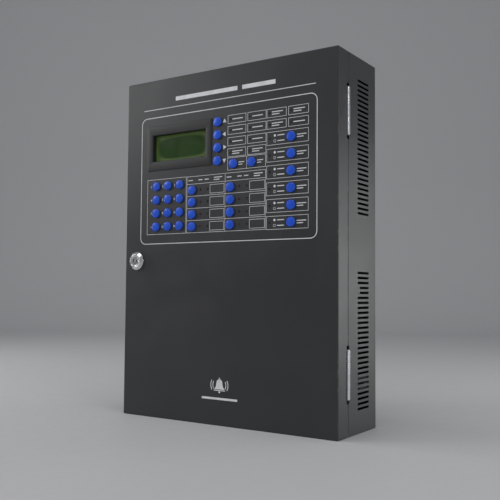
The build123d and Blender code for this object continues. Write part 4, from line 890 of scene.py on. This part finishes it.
BELL = np.array([(0.0, 8.0), (1.7, 7.8), (3.2, 7.0), (4.4, 5.6), (5.0, 3.8), (5.2, 1.5), (5.6, -1.0),
                 (6.6, -3.2), (8.2, -4.8), (8.8, -5.8)])
BADGE_X, BADGE_T = -2.0, 444.5
outline = np.concatenate([BELL, BELL[:0:-1] * [-1, 1]]) * [1, -1] + [BADGE_X, BADGE_T]
badge = [plate(to_door(outline), INK_FRONT, INK_BACK),
         rule((BADGE_X - 9.6, BADGE_T + 7.3), (BADGE_X + 9.6, BADGE_T + 7.3), 1.2),
         spot(BADGE_X, BADGE_T + 9.6, 1.5), spot(BADGE_X, BADGE_T - 9.2, 1.0)]
for radius in (11.0, 14.5):
    for start in (-28, 152):
        wave = to_door(arc((BADGE_X, BADGE_T), radius, start, start + 56, 10))
        badge.append(ribbon(wave, 1.1 * MM, INK_FRONT, INK_BACK, closed=False))
badge.append(rule((BADGE_X - 30.0, 463.2), (BADGE_X + 30.0, 463.2), 3.0))
piece("legend_badge", together(badge), ink, "door")

# %% Boxes and tables
LINE = 0.55
ZONE_COLUMNS = (-62.9, 4.5)
ZONE_ROWS = (162.0, 179.5, 197.0, 214.5)
HEAD_ROW = 156.6
OUTPUT_TOPS = [101.5 + 22.7 * number for number in range(6)]
STATUS_BOXES = ((8.5, 38.7, 4), (41.7, 71.4, 4), (72.9, 103.1, 2), (106.6, 136.8, 2))
STATUS_TOPS = (70.0, 85.5, 101.5, 117.0)

lines = [ring_of(-137.8, 150.5, -64.4, 232.0, 0, LINE), ring_of(8.5, 130.0, 71.0, 147.0, 0, LINE),
         rule((40.2, 130.0), (40.2, 147.0), LINE)]
for left, right, rows in STATUS_BOXES:
    lines += [ring_of(left, top, right, top + 11.5, 0, LINE) for top in STATUS_TOPS[:rows]]
lines += [rule((x, 150.7), (x, 232.3), LINE) for x in (*ZONE_COLUMNS, 71.2)]
lines += [rule((-62.9, t), (71.2, t), LINE) for t in (151.0, *ZONE_ROWS, 232.0)]
for left in (-21.6, 45.6):
    lines += [ring_of(left, top + 3.0, left + 24.2, top + 15.0, 0, LINE) for top in ZONE_ROWS]
lines += [ring_of(72.9, top, 136.8, top + 17.5, 0, LINE) for top in OUTPUT_TOPS]
piece("legend_lines", together(lines), ink, "door")

# %% Word bars, numbers and marks
STATUS_LINES = ((1, 1, 1, 2), (1, 1, 1, 2), (2, 2), (2, 1))

marks = []
for (left, right, rows), column in zip(STATUS_BOXES, STATUS_LINES):
    for top, lines_here in zip(STATUS_TOPS, column):
        marks += word_bars(left + 7.6, top + 5.75, right - left - 11.0, lines_here)
for x in (26.4, 57.2):
    marks += word_bars(x, 138.7, 11.0, 2)
for left in (-60.3, 7.1):
    for aside, room, lines_here in ((0.0, 9.0, 1), (18.1, 8.0, 1), (29.0, 8.0, 1), (45.2, 16.0, 2)):
        marks += word_bars(left + aside, HEAD_ROW, room, lines_here)
for top in OUTPUT_TOPS:
    centre = top + 8.75
    marks += [spot(85.5, centre - 3.7, 1.7), spot(85.5, centre + 3.7, 1.75, 0.45)]
    marks += word_bars(89.6, centre - 3.7, 12.0) + word_bars(89.6, centre + 3.7, 12.0)
    marks += word_bars(119.4, centre, 16.0, 2)
for key, text in zip(("1", "2", "3", "4", "5", "6", "7", "8", "9", "star", "0", "hash"), "123456789*0#"):
    x, t = key_at["number_key_" + key].x / MM, (door_high.z - key_at["number_key_" + key].z) / MM
    marks.append(key_number(text, x - 12.4, t, 3.5 if text != "*" else 2.2, 4.0))
ARROW_X, ARROW_RADIUS = 2.6, 3.7
for key, turn in (("up", -90), ("left", 180), ("right", 0), ("down", 90)):
    t = (door_high.z - key_at["arrow_key_" + key].z) / MM
    tip = np.radians(np.array([0, 120, 240]) + turn)
    triangle = np.stack([ARROW_X + ARROW_RADIUS * np.cos(tip), t + ARROW_RADIUS * np.sin(tip)], axis=1)
    marks.append(plate(to_door(triangle), INK_FRONT, INK_BACK))
piece("legend_marks", together(marks), ink, "door")

# %% [markdown]
# ## Parts on the boards
# With the door open the boards can be seen, so they carry the small parts that such boards have. Each
# kind is drawn once at the origin, standing on the plane y = 0, and then copied to its places by adding
# arrays. Parts on the main board face the door, and those on the door's board face the cabinet.

# %% Small shapes and copies
def repeat(shape, places, y, out=-1):
    """Copies of a shape at each (x, z) in millimetres, standing on the plane y and facing out along Y."""
    points, faces = shape
    spots = np.insert(np.asarray(places, float) * MM, 1, y, axis=1)
    copied = (points * [1.0, -out, 1.0] + spots[:, None]).reshape(-1, 3)
    shift = len(points) * np.arange(len(spots))[:, None, None]
    return copied, [(f[None] + shift).reshape(-1, f.shape[1]) for f in faces]


def lump(low, high, radius=0.15):
    """A block with rounded edges, in millimetres."""
    return block(np.array(low) * MM, np.array(high) * MM, radius * MM, 1)


def spun(shape, degrees):
    """A shape turned about the Y axis: x and z are mixed by the cosine and sine of the angle."""
    c, s = np.cos(radians(degrees)), np.sin(radians(degrees))
    return shape[0] @ np.array([[c, 0, s], [0, 1, 0], [-s, 0, c]]), shape[1]


def lathe(profile, steps=20):
    """A profile of (radius, distance out) in millimetres, turned about the origin's Y axis."""
    return turned(np.array(profile) * [MM, -MM], 0.0, 0.0, steps)


def legs(count, pitch, start, height, width):
    """A row of bent legs on the right of a chip: out from its side, down to the board, and out again."""
    path = np.array([(start - 0.3, -height), (start + 0.45, -height), (start + 0.8, -0.12),
                     (start + 1.5, -0.12)])
    points, faces = ribbon(path * MM, 0.2 * MM, -width / 2 * MM, width / 2 * MM, closed=False)
    rows = [(0.0, (number - (count - 1) / 2) * pitch) for number in range(count)]
    return repeat((points[:, [0, 2, 1]], faces), rows, 0.0)


def chip(width, height, thick, count, pitch, sides=2):
    """A chip's moulded body and its legs, on two long sides or on all four."""
    body = lump((-width / 2, -thick, -height / 2), (width / 2, -0.2, height / 2), 0.2)
    row = legs(count, pitch, width / 2, thick * 0.5, pitch * 0.38)
    turns = (0, 180) if sides == 2 else (0, 90, 180, 270)
    return body, together([spun(row, turn) for turn in turns])


def can(radius, height):
    """An upright capacitor's sleeve: rolled in near its base, with a rounded shoulder at its top."""
    return lathe([(0, 0), (radius - 0.2, 0), (radius, 0.2), (radius, 1.2), (radius - 0.35, 1.7),
                  (radius, 2.2), (radius, height - 0.6), (radius - 0.2, height - 0.15),
                  (radius - 0.7, height), (0, height)])


def stamp(number, x, z, height, y, out=-1):
    """A number printed on a plane that faces out along Y. Its digits run to -X when the plane faces +Y."""
    points, triangles = digits(str(number))
    low, high = points.min(axis=0), points.max(axis=0)
    scale = height / (high[1] - low[1])
    across = (points[:, 0] - (low[0] + high[0]) / 2) * scale
    up = (points[:, 1] - (low[1] + high[1]) / 2) * scale
    proud = y + out * (0.03 * points[:, 2] - 0.01) * MM
    return np.stack([(x - out * across) * MM, proud, (z + up) * MM], axis=1), [triangles]


def bar_on(x, z, width, height, y, out=-1):
    """A printed bar on such a plane, in the place of a word."""
    path = np.array([(x - width / 2, z), (x + width / 2, z)]) * MM
    return ribbon(path, height * MM, y + out * 0.02 * MM, y - out * 0.01 * MM, closed=False)


def outline_on(x, z, width, height, y, out=-1, line=0.25):
    """A printed rectangle on such a plane."""
    path = (rounded(width / 2, height / 2, 0.05, 1) + [x, z]) * MM
    return ribbon(path, line * MM, y + out * 0.02 * MM, y - out * 0.01 * MM)


# %% Main board
MAIN_Y = main_low.y
PIN_PITCH, SOCKET_PITCH, SCREW_PITCH = 2.54, 2.5, 5.08
PIN_ROWS = (-1, 1)
HEADERS = [(-60.0, 54.0), (0.0, 54.0), (60.0, 54.0)]
FUSE_X, FUSE_ROWS = -136.0, (100.0, 112.0, 124.0)
OPTION_X, OPTION_Z = 110.0, 84.0


def on_main(*pairs):
    """One shape from pairs of a shape and its places on the main board."""
    return together([repeat(shape, places, MAIN_Y) for shape, places in pairs])


main_body, main_legs = chip(20.0, 20.0, 1.6, 22, 0.8, 4)
dual_body, dual_legs = chip(7.0, 19.0, 3.4, 8, 2.3)
wide_body, wide_legs = chip(12.0, 28.0, 3.6, 12, 2.3)
DUALS = [(x, 138.0) for x in (-60.0, -36.0, -12.0, 12.0, 36.0, 60.0)]
DUALS += [(-76.0, 104.0), (-92.0, 104.0), (34.0, 84.0)]
WIDES = [(-48.0, 96.0), (62.0, 100.0)]
CHIP_MAIN = [(6.0, 92.0)]
chips = on_main((main_body, CHIP_MAIN), (dual_body, DUALS), (wide_body, WIDES))
piece("main_chips", chips, epoxy_black, "cabinet")
pins = on_main((main_legs, CHIP_MAIN), (dual_legs, DUALS), (wide_legs, WIDES))
piece("main_chip_legs", pins, solder, "cabinet")

BIG_CANS = [(-136.0, 60.0), (-136.0, 78.0), (-118.0, 60.0), (118.0, 66.0), (136.0, 66.0)]
SMALL_CANS = [(-104.0, 140.0), (-104.0, 128.0), (96.0, 138.0), (96.0, 126.0), (30.0, 108.0),
              (-20.0, 112.0), (86.0, 78.0)]
piece("main_capacitors", on_main((can(6.5, 21.0), BIG_CANS), (can(3.2, 11.0), SMALL_CANS)),
      sleeve_black, "cabinet")
big_top = lathe([(0, 20.9), (5.9, 20.9), (5.7, 21.12), (2.0, 21.05), (0, 21.0)])
small_top = lathe([(0, 10.9), (2.7, 10.9), (2.5, 11.1), (1.0, 11.05), (0, 11.0)])
crystal = framed([(5.4 * MM, 2.2 * MM, 2.1 * MM, 0.0), (5.4 * MM, 2.2 * MM, 2.1 * MM, -0.4 * MM),
                  (5.0 * MM, 1.8 * MM, 1.7 * MM, -0.5 * MM), (5.0 * MM, 1.8 * MM, 1.7 * MM, -3.1 * MM),
                  (4.6 * MM, 1.4 * MM, 1.3 * MM, -3.5 * MM)], 0.0, 0.0)
cell = lathe([(0, 0.6), (10.0, 0.6), (10.0, 2.2), (9.4, 3.6), (8.4, 3.8), (0, 3.8)], 40)
CRYSTALS = [(6.0, 74.0), (-20.0, 76.0)]
CELL = [(98.0, 102.0)]
piece("main_metal", on_main((big_top, BIG_CANS), (small_top, SMALL_CANS), (crystal, CRYSTALS), (cell, CELL)),
      steel_can, "cabinet")

# a header's walls, the key slot between the two short ones, and its floor; each line is two corners
HEADER = [((-14.0, -9.0, -4.4), (-13.0, 0, 4.4)), ((13.0, -9.0, -4.4), (14.0, 0, 4.4)),
          ((-14.0, -9.0, 3.4), (14.0, 0, 4.4)), ((-14.0, -9.0, -4.4), (-3.0, 0, -3.4)),
          ((3.0, -9.0, -4.4), (14.0, 0, -3.4)), ((-14.0, -2.4, -4.4), (14.0, 0, 4.4))]
header = together([lump(low, high, 0.2) for low, high in HEADER])
piece("main_headers", on_main((header, HEADERS)), epoxy_black, "cabinet")
pin = lump((-0.32, -7.6, -0.32), (0.32, -2.0, 0.32), 0.08)


def pins_of(headers):
    """The places of each header's pins, in two rows of ten."""
    return [(x + PIN_PITCH * (k - 4.5), z + side * 1.27) for x, z in headers for k in range(10)
            for side in PIN_ROWS]


SOCKET = [((-11.0, -6.5, -2.9), (11.0, 0, -1.9)), ((-11.0, -8.5, 1.9), (11.0, 0, 2.9)),
          ((-11.0, -6.5, -2.9), (-10.0, 0, 2.9)), ((10.0, -6.5, -2.9), (11.0, 0, 2.9)),
          ((-11.0, -2.0, -2.9), (11.0, 0, 2.9))]
socket = together([lump(low, high, 0.2) for low, high in SOCKET])
SOCKETS = [(-100.0, 44.0), (104.0, 44.0), (136.0, 44.0)]
piece("main_sockets", on_main((socket, SOCKETS)), white_plastic, "cabinet")
socket_pins = [(x + SOCKET_PITCH * (k - 3), z) for x, z in SOCKETS for k in range(7)]
fuse_ends = [(FUSE_X + end * 8.4, z) for z in FUSE_ROWS for end in (-1, 1)]
clip = lump((-1.6, -7.0, -3.2), (1.6, 0, 3.2), 0.5)
piece("main_pins", on_main((pin, pins_of(HEADERS)), (pin, socket_pins), (clip, fuse_ends)),
      solder, "cabinet")
tube = turned(np.array([(0, -7.5), (2.5, -7.5), (2.5, 7.5), (0, 7.5)]) * MM, 0.0, 0.0, 18)
tube = (tube[0][:, [1, 0, 2]] - [0.0, 4.6 * MM, 0.0], tube[1])
piece("main_fuses", on_main((tube, [(FUSE_X, z) for z in FUSE_ROWS])), white_plastic, "cabinet")
switch = lump((-10.2, -5.4, -4.8), (10.2, 0, 4.8), 0.3)
piece("main_option_switch", on_main((switch, [(OPTION_X, OPTION_Z)])), red_plastic, "cabinet")
lever = lump((-0.7, -6.1, -1.0), (0.7, -5.2, 1.0), 0.15)
lever_at = [(OPTION_X + PIN_PITCH * (k - 3.5), OPTION_Z + (1.4 if k % 3 else -1.4)) for k in range(8)]
piece("main_option_levers", on_main((lever, lever_at)), white_plastic, "cabinet")

# rows of flat chip resistors and capacitors: a dark body between two bright ends
flat_body = lump((-0.7, -0.6, -0.6), (0.7, 0, 0.6), 0.08)
flat_end = lump((-0.3, -0.66, -0.66), (0.3, 0, 0.66), 0.08)
END_STEP = [0.9, 0]
columns = np.concatenate([np.arange(-70, 71, 5.2), np.arange(-30, 45, 4.1)])
rows = np.concatenate([np.full(28, 121.0), np.full(len(columns) - 28, 64.5)])
flats = np.stack([columns[:len(rows)], rows], axis=1)
groups_of_four = np.repeat(np.arange(-120, 121, 36.0), 4) + np.tile([-9, -3, 3, 9], 7)
under = np.stack([groups_of_four, np.tile(186.0, 28)], axis=1)
FLATS = np.concatenate([flats, under + [6.0, 0.0]])
piece("main_flat_parts", repeat(flat_body, FLATS, MAIN_Y), epoxy_black, "cabinet")
flat_ends = np.concatenate([FLATS - END_STEP, FLATS + END_STEP])
piece("main_flat_ends", repeat(flat_end, flat_ends, MAIN_Y), solder, "cabinet")

silk = [outline_on(x, z, 9.5, 21.5, MAIN_Y) for x, z in DUALS]
silk += [outline_on(x, z, 16.0, 30.0, MAIN_Y) for x, z in WIDES]
silk += [outline_on(x, z, 30.0, 11.0, MAIN_Y) for x, z in HEADERS]
silk += [outline_on(6.0, 92.0, 25.0, 25.0, MAIN_Y), outline_on(98.0, 102.0, 22.0, 22.0, MAIN_Y)]
blocks_x = np.linspace(-126.0, 126.0, 8)
silk += [stamp(n + 1, x, 189.3, 2.0, MAIN_Y) for n, x in enumerate(blocks_x)]
silk += [stamp(n + 1, 25.0 * (n - 2.5), 156.6, 2.2, MAIN_Y) for n in range(6)]
silk += [stamp(n + 1, x - 7.0, z - 12.5, 2.0, MAIN_Y) for n, (x, z) in enumerate(DUALS + WIDES)]
silk += [bar_on(-118.0, 150.0, 26.0, 2.4, MAIN_Y), bar_on(118.0, 150.0, 14.0, 1.8, MAIN_Y)]
silk += [stamp(n + 1, -150.0, z, 2.0, MAIN_Y) for n, z in enumerate(FUSE_ROWS)]
piece("main_print", together(silk), board_ink, "cabinet")

# slots in the terminals' screws, as thin black marks: their black is painted shade in the place of each
# slot's recess
slot = lump((-1.35, -0.03, -0.22), (1.35, 0.02, 0.22), 0.005)
screw_x = [b + SCREW_PITCH * (w - 2.5) for b in blocks_x for w in range(6)]
SCREW_Z = ((terminals_low.z + terminals_high.z) / 2) / MM - 1.0
screws = [(x, SCREW_Z) for x in screw_x]
piece("terminal_slot_shade", repeat(slot, screws, terminals_low.y + 3.125 * MM), epoxy_black, "cabinet")
print("main board dressed")

# %% Rear of the door's board
DOOR_Y = board_high.y
LEG_ASIDE = [1.27, 0.0]
REAR_HEADERS = [(-92.0, 158.0), (0.0, 20.0)]


def on_door(*pairs):
    """One shape from pairs of a shape and its places on the back of the door's board."""
    return together([repeat(shape, places, DOOR_Y, 1) for shape, places in pairs])


def places_of(names):
    """The places of some keys, as (x, z) in millimetres."""
    return np.array([(key_at[name].x / MM, key_at[name].z / MM) for name in names])


corner = np.array([(i, k) for i in (-3.25, 3.25) for k in (-2.25, 2.25)])
key_xz = places_of(key_names)
joint = lathe([(0, 0), (0.95, 0), (0.8, 0.35), (0.45, 0.75), (0.3, 1.05), (0, 1.1)], 8)
at_keys = (key_xz[:, None] + corner).reshape(-1, 2)
zone_keys = places_of([f"zone_key_{n}" for n in range(1, 9)])
lamps = np.concatenate([zone_keys + [aside, 0.0] for aside in LAMP_ASIDE])
output_keys = places_of([f"output_key_{n}" for n in range(1, 7)])
LAMP_COLUMNS = ((13.1, 4), (45.3, 4), (77.9, 2), (110.1, 2))
LAMP_ROWS = (75.7, 91.2, 107.2, 122.8)
status = [(x, 250.0 - t) for x, rows in LAMP_COLUMNS for t in LAMP_ROWS[:rows]]
lamps = np.concatenate([lamps, output_keys - [33.8, 0.0], status])
at_lamps = np.concatenate([lamps - LEG_ASIDE, lamps + LEG_ASIDE])
module_row = np.stack([np.linspace(-125.0, -87.0, 16), np.full(16, 174.6)], axis=1)
joints_at = np.concatenate([at_keys, at_lamps, module_row])
piece("door_joints", on_door((joint, joints_at)), solder, "door")

REAR_CHIPS = [(-40.0, 168.0), (-40.0, 140.0), (32.0, 72.0), (92.0, 176.0)]
REAR_MAIN = [(-92.0, 128.0)]
rear_bodies = on_door((dual_body, REAR_CHIPS), (main_body, REAR_MAIN))
piece("door_chips", rear_bodies, epoxy_black, "door")
rear_legs = on_door((dual_legs, REAR_CHIPS), (main_legs, REAR_MAIN))
piece("door_chip_legs", rear_legs, solder, "door")
piece("door_header", on_door((header, REAR_HEADERS)), epoxy_black, "door")
piece("door_header_pins", on_door((pin, pins_of(REAR_HEADERS))), solder, "door")
low_row = [(-112.0 + 4 * k, 108.0) for k in range(11)]
beside = np.concatenate([lamps + [0.0, 4.6], key_xz[:16] + [0.0, 7.6], low_row])
piece("door_flat_parts", on_door((flat_body, beside)), epoxy_black, "door")
flat_ends = np.concatenate([beside - END_STEP, beside + END_STEP])
piece("door_flat_ends", on_door((flat_end, flat_ends)), solder, "door")
REAR_NUMBERS = ((-92.0, 166.5), (0.0, 28.0), (62.0, 142.0))
rear_print = [outline_on(x, z, 9.5, 21.5, DOOR_Y, 1) for x, z in REAR_CHIPS]
rear_print += [outline_on(x, z, 25.0, 25.0, DOOR_Y, 1) for x, z in REAR_MAIN]
rear_print += [bar_on(118.0, 22.0, 28.0, 2.2, DOOR_Y, 1)]
rear_print += [stamp(n + 1, x, z, 2.2, DOOR_Y, 1) for n, (x, z) in enumerate(REAR_NUMBERS)]
piece("door_print", together(rear_print), board_ink, "door")
print("door board dressed:", len(at_keys) + len(at_lamps), "solder joints")

# %% [markdown]
# ## Labels
# A printed card inside the door and a label on each battery have plain bars where words would be, and
# each battery has coloured terminal bases.

# %% Card, battery labels and terminals
def sheet(half_width, half_height, corner, y, out, thick, x, z):
    """A thin sheet with rounded corners, 0.02 mm into the plane y, with a fine bevel round its face."""
    sections = [(half_width * MM, half_height * MM, corner * MM, y - out * 0.02 * MM),
                (half_width * MM, half_height * MM, corner * MM, y + out * (thick - 0.02) * MM),
                ((half_width - 0.1) * MM, (half_height - 0.1) * MM, (corner - 0.1) * MM,
                 y + out * thick * MM)]
    return framed(sections, x * MM, z * MM)


CARD_X, CARD_Z, CARD_THICK = 30.0, -120.0, 0.12
CARD_LEFT, CARD_MIDDLE = 94.0, 14.0
CARD_Y = door_face + 1.2 * MM
CARD_FACE = CARD_Y + CARD_THICK * MM
card = sheet(70.0, 45.0, 3.0, CARD_Y, 1, CARD_THICK, CARD_X, CARD_Z)
piece("inside_card", card, label_paper, "door")
ROWS = ((34.0, 20.0), (27.0, 14.0), (30.0, 18.0), (36.0, 14.0), (24.0, 18.0))
rows_print = [bar_on(CARD_X, -84.0, 34.0, 3.4, CARD_FACE, 1)]
for number, (left, right) in enumerate(ROWS):
    z = -97.0 - 11.0 * number
    rows_print += [bar_on(CARD_LEFT - left / 2, z, left, 1.8, CARD_FACE, 1),
                   bar_on(CARD_MIDDLE - right / 2, z, right, 1.8, CARD_FACE, 1),
                   outline_on(CARD_X, z - 5.5, 132.0, 0.3, CARD_FACE, 1, 0.2)]
rows_print.append(outline_on(CARD_X, CARD_Z, 134.0, 84.0, CARD_FACE, 1, 0.5))
piece("card_print", together(rows_print), epoxy_black, "door")

BATTERY_X, LABEL_THICK = 79.0, 0.1
BATTERY_Y = battery_low.y
LABEL_FACE = BATTERY_Y - LABEL_THICK * MM
# each label's middle height and half height, and each bar's height, width and thickness
LABELS = ((-170.3, 9.0), (-224.0, 17.0))
LABEL_BARS = ((-170.3, 46.0, 4.0), (-216.5, 70.0, 2.0), (-224.0, 62.0, 2.0), (-231.5, 44.0, 2.0))
paper, print_on = [], []
for side in (-1, 1):
    x = side * BATTERY_X
    paper += [sheet(52.0, half, 1.5, BATTERY_Y, -1, LABEL_THICK, x, z) for z, half in LABELS]
    print_on += [bar_on(x, z, width, height, LABEL_FACE) for z, width, height in LABEL_BARS]
piece("battery_labels", together(paper), label_paper, "cabinet")
piece("battery_print", together(print_on), epoxy_black, "cabinet")
base_z = battery_high.z - 6.0 * MM
bases = {1: [], -1: []}
for side in (-1, 1):
    for end in (-1, 1):
        x, y = side * BATTERY_X + end * 65.5, BATTERY_Y / MM + 12.4
        top = base_z / MM
        bases[end].append(together([lump((x - 5.5, y - 3.6, top - 0.2), (x + 5.5, y - 0.9, top + 1.8), 0.3),
                                    lump((x - 5.5, y + 0.9, top - 0.2), (x + 5.5, y + 3.6, top + 1.8), 0.3)]))
piece("battery_positive_bases", together(bases[1]), red_plastic, "cabinet")
piece("battery_negative_bases", together(bases[-1]), sleeve_black, "cabinet")
print("labels done")

# %% [markdown]
# ## Stage and light
# A plain pale floor curves up into a plain backdrop behind the panel. The floor is level with the
# cabinet's bottom. A soft light stands behind and to the right, where the side face reflects it. A dim
# one to the front left lightens that corner of the door, and a wide one overhead fills the rest. Two
# upright strips, far left and right, draw a bright line along the folds and the edges of the display frame.

# %% Stage
FLOOR_Z = cabinet_low.z
across = np.array([-12.0, 12.0])
bend = arc((2.1, FLOOR_Z + 0.9), 0.9, -90, 0, 16)
run = np.concatenate([[(-3.2, FLOOR_Z)], bend, [(3.0, 3.6)]])
facing_turn = radians(CAMERA_TURN)
ahead = np.array([-np.sin(facing_turn), np.cos(facing_turn)])
aside = np.array([np.cos(facing_turn), np.sin(facing_turn)])
grid = run[:, :1, None] * ahead + across[None, :, None] * aside
sweep = np.concatenate([grid, np.broadcast_to(run[:, 1:, None], (len(run), 2, 1))], axis=2)
mesh = bpy.data.meshes.new("studio_sweep")
mesh.from_pydata(sweep.reshape(-1, 3).tolist(), [], grid_faces(len(run), 2, close_columns=False).tolist())
mesh.shade_smooth()
floor = bpy.data.objects.new("studio_sweep", mesh)
bpy.context.scene.collection.objects.link(floor)
studio, tree, shader, place = new_finish("studio_grey", IOR=1.4)
grain = effect(tree, "fine_grain", place, size=40.0)
feed(tree, shader, Base_Color=mixed(tree, grain.outputs["Speckle"], (0.55, 0.55, 0.56), (0.58, 0.58, 0.59)),
     Roughness=between(tree, grain.outputs["Height"], 0.3, 0.7, 0.5, 0.6))
mesh.materials.append(studio)


# %% Lights
def soft_light(name, place, aim, width, height, watts):
    """A rectangular light that faces a point."""
    lamp = bpy.data.lights.new(name, "AREA")
    lamp.shape, lamp.size, lamp.size_y, lamp.energy = "RECTANGLE", width, height, watts
    holder = bpy.data.objects.new(name, lamp)
    bpy.context.scene.collection.objects.link(holder)
    holder.location = place
    holder.rotation_euler = (Vector(aim) - Vector(place)).to_track_quat("-Z", "Y").to_euler()


soft_light("softbox_right", (1.05, 1.0, -0.05), (0.18, -0.05, -0.05), 0.6, 0.7, 5.0)
soft_light("softbox_left", (-1.95, -1.45, 1.0), (0.0, -0.11, 0.1), 0.8, 0.8, 10.0)
soft_light("strip_far_left", (-1.7, -0.34, 0.15), (-0.1, -0.11, 0.0), 0.35, 1.3, 9.0)
soft_light("strip_right", (1.9, -1.0, 0.1), (0.15, -0.1, 0.0), 0.35, 1.3, 9.0)
soft_light("overhead", (0.2, -0.7, 1.9), (0.0, 0.0, -0.1), 2.0, 1.6, 15.0)
world = bpy.data.worlds.new("studio_air")
world.use_nodes = True
world.node_tree.nodes["Background"].inputs["Color"].default_value = (0.50, 0.51, 0.53, 1.0)
world.node_tree.nodes["Background"].inputs["Strength"].default_value = 0.6
bpy.context.scene.world = world
bpy.context.scene.view_settings.view_transform = "Standard"
